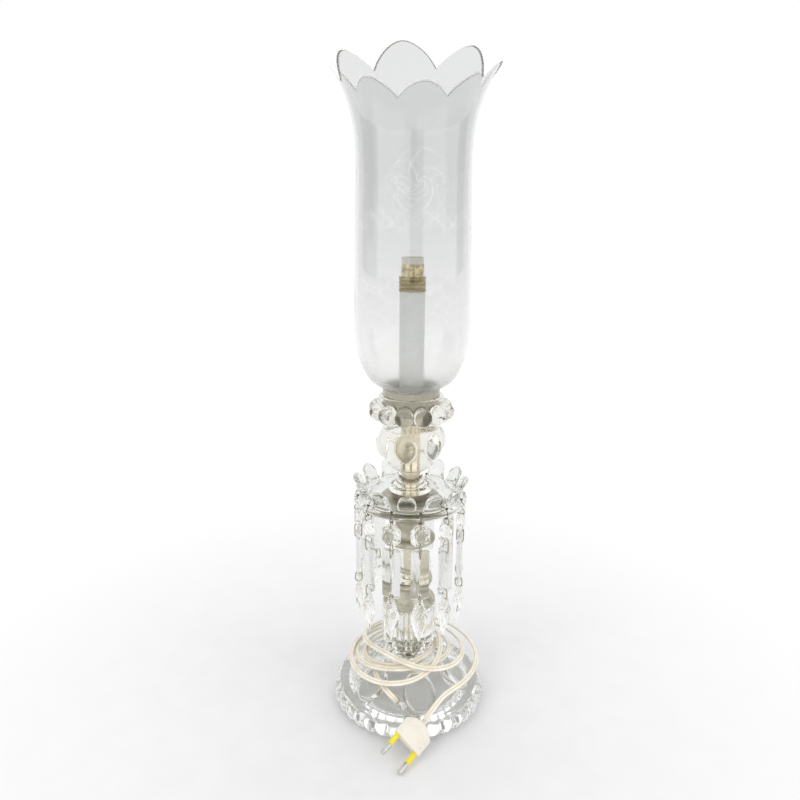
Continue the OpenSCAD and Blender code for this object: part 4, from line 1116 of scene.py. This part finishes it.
def prism_grid():
    """Rings of the flat prism from top to bottom: a ten-sided section with a ridge down its middle,
    smaller at both ends."""
    half_w, ridge, edge = 7.25, 2.0, 0.7
    section = np.array([
        (-half_w, edge), (-half_w * 0.4, ridge * 0.8), (0, ridge), (half_w * 0.4, ridge * 0.8), (half_w, edge),
        (half_w, -edge), (half_w * 0.4, -ridge * 0.8), (0, -ridge), (-half_w * 0.4, -ridge * 0.8), (-half_w, -edge),
    ])
    rings = [(0, 0.83, 0.55), (1.3, 1, 1), (40.5, 1, 1), (41.8, 0.83, 0.55)]
    return np.array([
        np.stack([section[:, 0] * a, section[:, 1] * b, np.full(10, PRISM_TOP - d)], -1) for d, a, b in rings
    ])


def drop_grid():
    """Rings of the pointed drop from top to tip: eight-sided, every second ring half a step on."""
    rings = [(0, 5.6, 1.5, 0), (3.4, 7.4, 3.2, 0.5), (9.2, 11.2, 5.4, 0), (15.6, 14.5, 7.9, 0.5),
             (22.5, 11.6, 6.6, 0), (30.5, 5.9, 3.4, 0.5), (37.2, 0.5, 0.4, 0)]
    turn = np.arange(8) * TAU / 8
    return np.array([
        np.stack([w / 2 * np.cos(turn + k * TAU / 8), t / 2 * np.sin(turn + k * TAU / 8),
                  np.full(8, DROP_TOP - d)], -1) for d, w, t, k in rings
    ])


def cut_template(name, grid, drills):
    """Faceted blank with its holes drilled through, as arrays of points and faces."""
    rows, columns = grid.shape[:2]
    q = quads(rows, columns, False, True)
    triangles = np.concatenate([q[:, [0, 1, 2]], q[:, [0, 2, 3]]])
    first = np.arange(columns)[None, :]
    last = (np.arange(columns)[::-1] + (rows - 1) * columns)[None, :]
    groups = [triangles if name != "prism" else q, first, last]
    blank = make_object(name + "_blank", grid, groups, smooth=False)
    cutters = []
    for z in drills:
        turn = np.arange(20) * TAU / 20
        tube = np.stack([
            np.stack([DRILL_R * np.cos(turn), np.full(20, y), z + DRILL_R * np.sin(turn)], -1) for y in (-6.0, 6.0)
        ])
        cutter = skin("cutter", tube, wrap_rows=False, smooth=False, caps=True)
        cutters.append(cutter)
        change = blank.modifiers.new("drill", "BOOLEAN")
        change.object, change.operation, change.solver = cutter, "DIFFERENCE", "EXACT"
    shaped = bpy.data.meshes.new_from_object(blank.evaluated_get(bpy.context.evaluated_depsgraph_get()))
    points = np.zeros(len(shaped.vertices) * 3)
    shaped.vertices.foreach_get("co", points)
    faces = [list(p.vertices) for p in shaped.polygons]
    for o in [blank] + cutters:
        bpy.data.objects.remove(o)
    return points.reshape(-1, 3), faces


def link_grid(top, low):
    """Tube round a loop of wire: half circles about two centres, one over the other, joined by
    straight legs. With one centre the loop is a ring."""
    a = np.linspace(0, np.pi, 21)
    y = np.concatenate([LINK_R * np.cos(a), -LINK_R * np.cos(a)])
    z = np.concatenate([top + LINK_R * np.sin(a), low - LINK_R * np.sin(a)])
    if top - low < 0.01:
        y, z = np.delete(y, [20, 41]), np.delete(z, [20, 41])
    path = np.stack([0 * y, y, z], -1)
    along = unit(np.roll(path, -1, 0) - np.roll(path, 1, 0))
    side = np.array([1.0, 0, 0])
    out = np.cross(along, side)
    q = np.arange(10) * TAU / 10
    return path[:, None] + WIRE_R * (np.cos(q)[None, :, None] * side + np.sin(q)[None, :, None] * out[:, None])


def on_chain(points, number):
    """Points of a chain's own axes, outwards along -Y, turned to its place round the dish."""
    a = math.radians(CHAIN_TURN + 360 * (number - 1) / CHAINS)
    x, y, z = points[..., 0], points[..., 1] - CHAIN_R * 1.0, points[..., 2]
    return np.stack([x * math.cos(a) - y * math.sin(a), x * math.sin(a) + y * math.cos(a), z], -1)


def make_chains():
    parts = (
        ("bead", cut_template("bead", bead_grid(), [BEAD_TOP - 3, BEAD_LOW_DRILL]), link_grid(RING_Z, RING_Z)),
        ("prism", cut_template("prism", prism_grid(), [PRISM_DRILL, PRISM_LOW_DRILL]),
         link_grid(BEAD_LINK, PRISM_DRILL - SAG / 2 + LINK_R)),
        ("drop", cut_template("drop", drop_grid(), [DROP_DRILL]),
         link_grid(PRISM_LINK, DROP_DRILL - DROP_SAG / 2 + LINK_R)),
    )
    for kind, (points, faces), link in parts:
        for number in range(1, CHAINS + 1):
            tag = f"{number:02d}"
            body = f"chain_{tag}_{kind}"
            mesh = bpy.data.meshes.new(f"{kind}_cut_{tag}")
            mesh.from_pydata((on_chain(points / MM, number) * MM).tolist(), [], faces)
            mesh.update()
            crystal = bpy.data.objects.new(f"{kind}_cut_{tag}", mesh)
            bpy.context.scene.collection.objects.link(crystal)
            place(crystal, body, PRISM_GLASS if kind == "prism" else CRYSTAL, "crystal", f"{kind}_{tag}")
            wire = skin(f"{kind}_wire_{tag}", on_chain(link, number))
            place(wire, body, LINK_WIRE, "crystal", f"{kind}_{tag}")


# floor, light and air

PANEL_LEVEL, DIM_LEVEL = 1.45, 0.33


def make_stage():
    """Pale floor that turns to plain white away from the lamp, as seen by the camera and in glass."""
    side = 8.0
    mesh = bpy.data.meshes.new("floor")
    mesh.from_pydata([(-side, -side, 0), (side, -side, 0), (side, side, 0), (-side, side, 0)], [], [(0, 1, 2, 3)])
    floor = bpy.data.objects.new("floor", mesh)
    bpy.context.scene.collection.objects.link(floor)
    material, g, out = new_material("floor_paper")
    point = object_point(g)
    away = g.node("ShaderNodeVectorMath", {0: point, 1: (-0.02, -0.02, 0)}, operation="DISTANCE").outputs[1]
    fade = g.span(away, 0.1, 0.42)
    path = g.node("ShaderNodeLightPath")
    seen = g.math("MAXIMUM", path.outputs["Is Camera Ray"], g.math(
        "MAXIMUM", path.outputs["Is Glossy Ray"], path.outputs["Is Transmission Ray"]))
    grain = g.span(noise(g, 35.0, 4.0), 0.3, 0.7, 0.0, 1.0)
    paper = g.node("ShaderNodeBsdfPrincipled", {
        "Base Color": g.mix(grain, (0.8, 0.8, 0.81, 1), (0.83, 0.83, 0.84, 1)),
        "Roughness": 0.7,
    })
    white = g.node("ShaderNodeEmission", {"Color": (1, 1, 1, 1), "Strength": 1.0})
    mixed = g.node("ShaderNodeMixShader", {
        0: g.math("MULTIPLY", g.math("SMOOTH_MIN", fade, 1.0, 0.1), seen), 1: paper.outputs[0], 2: white.outputs[0]})
    g.put(out.inputs["Surface"], mixed.outputs[0])
    mesh.materials.append(material)


def make_air():
    """World: plain white to the camera and behind the lamp. On the camera's side stand two broad
    bright panels with a dim gap between them and dim strips beside them, and light comes from above.
    Seen straight through glass the air is nearly even, so that the glass stays clear all round.
    Turns are measured from the camera's side, towards +X."""
    world = bpy.data.worlds.new("studio")
    bpy.context.scene.world = world
    world.use_nodes = True
    world.node_tree.nodes.clear()
    g = Graph(world.node_tree)
    way = g.node("ShaderNodeTexCoord").outputs["Generated"]
    x, y, z = g.node("ShaderNodeSeparateXYZ", {0: way}).outputs
    turn = g.math("ARCTAN2", x, g.math("MULTIPLY", y, -1.0))

    def between(value, low, high, soft):
        return g.math("MULTIPLY", g.span(value, low - soft, low + soft), g.span(value, high + soft, high - soft))

    panels = g.math("MAXIMUM", between(turn, *np.radians([-74, -6, 2.5]).tolist()),
                    between(turn, *np.radians([19, 95, 2.5]).tolist()))
    panels = g.math("MULTIPLY", panels, between(z, -0.5, 0.72, 0.05))
    behind = g.span(g.math("ABSOLUTE", turn), *np.radians([108, 122]).tolist())
    above = g.span(z, 0.72, 0.9)
    path = g.node("ShaderNodeLightPath")
    straight = g.math("LESS_THAN", path.outputs["Glossy Depth"], 0.5)
    through = g.math("MULTIPLY", path.outputs["Is Transmission Ray"], straight)
    dim = g.span(through, 0.0, 1.0, DIM_LEVEL, 0.9)
    bright = g.span(through, 0.0, 1.0, PANEL_LEVEL, 1.05)
    rest = g.span(g.math("ABSOLUTE", g.math("SUBTRACT", z, 0.1)), 0.3, 0.5, dim, 0.88)
    level = g.node("ShaderNodeMix", {0: panels, 2: rest, 3: bright}).outputs[0]
    level = g.math("MAXIMUM", level, g.math("MAXIMUM", behind, above))
    strength = g.math("MAXIMUM", level, path.outputs["Is Camera Ray"])
    air = g.node("ShaderNodeBackground", {"Color": (1.0, 1.0, 1.0, 1), "Strength": strength})
    out = g.node("ShaderNodeOutputWorld")
    g.put(out.inputs["Surface"], air.outputs[0])


def add_lamp(name, at, size, power, to=(0, 0, 0.25)):
    data = bpy.data.lights.new(name, "AREA")
    data.shape, data.size, data.energy = "SQUARE", size, power
    lamp = bpy.data.objects.new(name, data)
    bpy.context.scene.collection.objects.link(lamp)
    back = unit(np.array(at, float) - np.array(to, float))
    right = unit(np.cross((0, 0, 1.0), back))
    matrix = np.eye(4)
    matrix[:3, :3] = np.stack([right, np.cross(back, right), back], 1)
    matrix[:3, 3] = at
    lamp.matrix_world = Matrix(matrix.tolist())
    lamp.visible_glossy = lamp.visible_transmission = False


make_inner_lead()
make_foot()
make_stem_glass()
make_brass()
make_dish()
make_cup()
shade_wall, shade_edge = make_shade()
place(shade_wall, SHADE, etched_glass(), "etched_glass", "shade")
place(shade_edge, SHADE, ground_glass(), "etched_glass", "shade")
make_gallery_and_holder()
dress("candle_tube", candle_material())
make_chains()
make_stage()
make_air()
add_lamp("key", (-0.9, -0.7, 1.5), 0.45, 2.8)
add_lamp("fill", (1.1, -0.5, 1.1), 0.4, 1.5)

scene = bpy.context.scene
scene.view_settings.view_transform = "Standard"
scene.cycles.max_bounces = 128
scene.cycles.transmission_bounces = 128
scene.cycles.glossy_bounces = 64
scene.cycles.transparent_max_bounces = 24
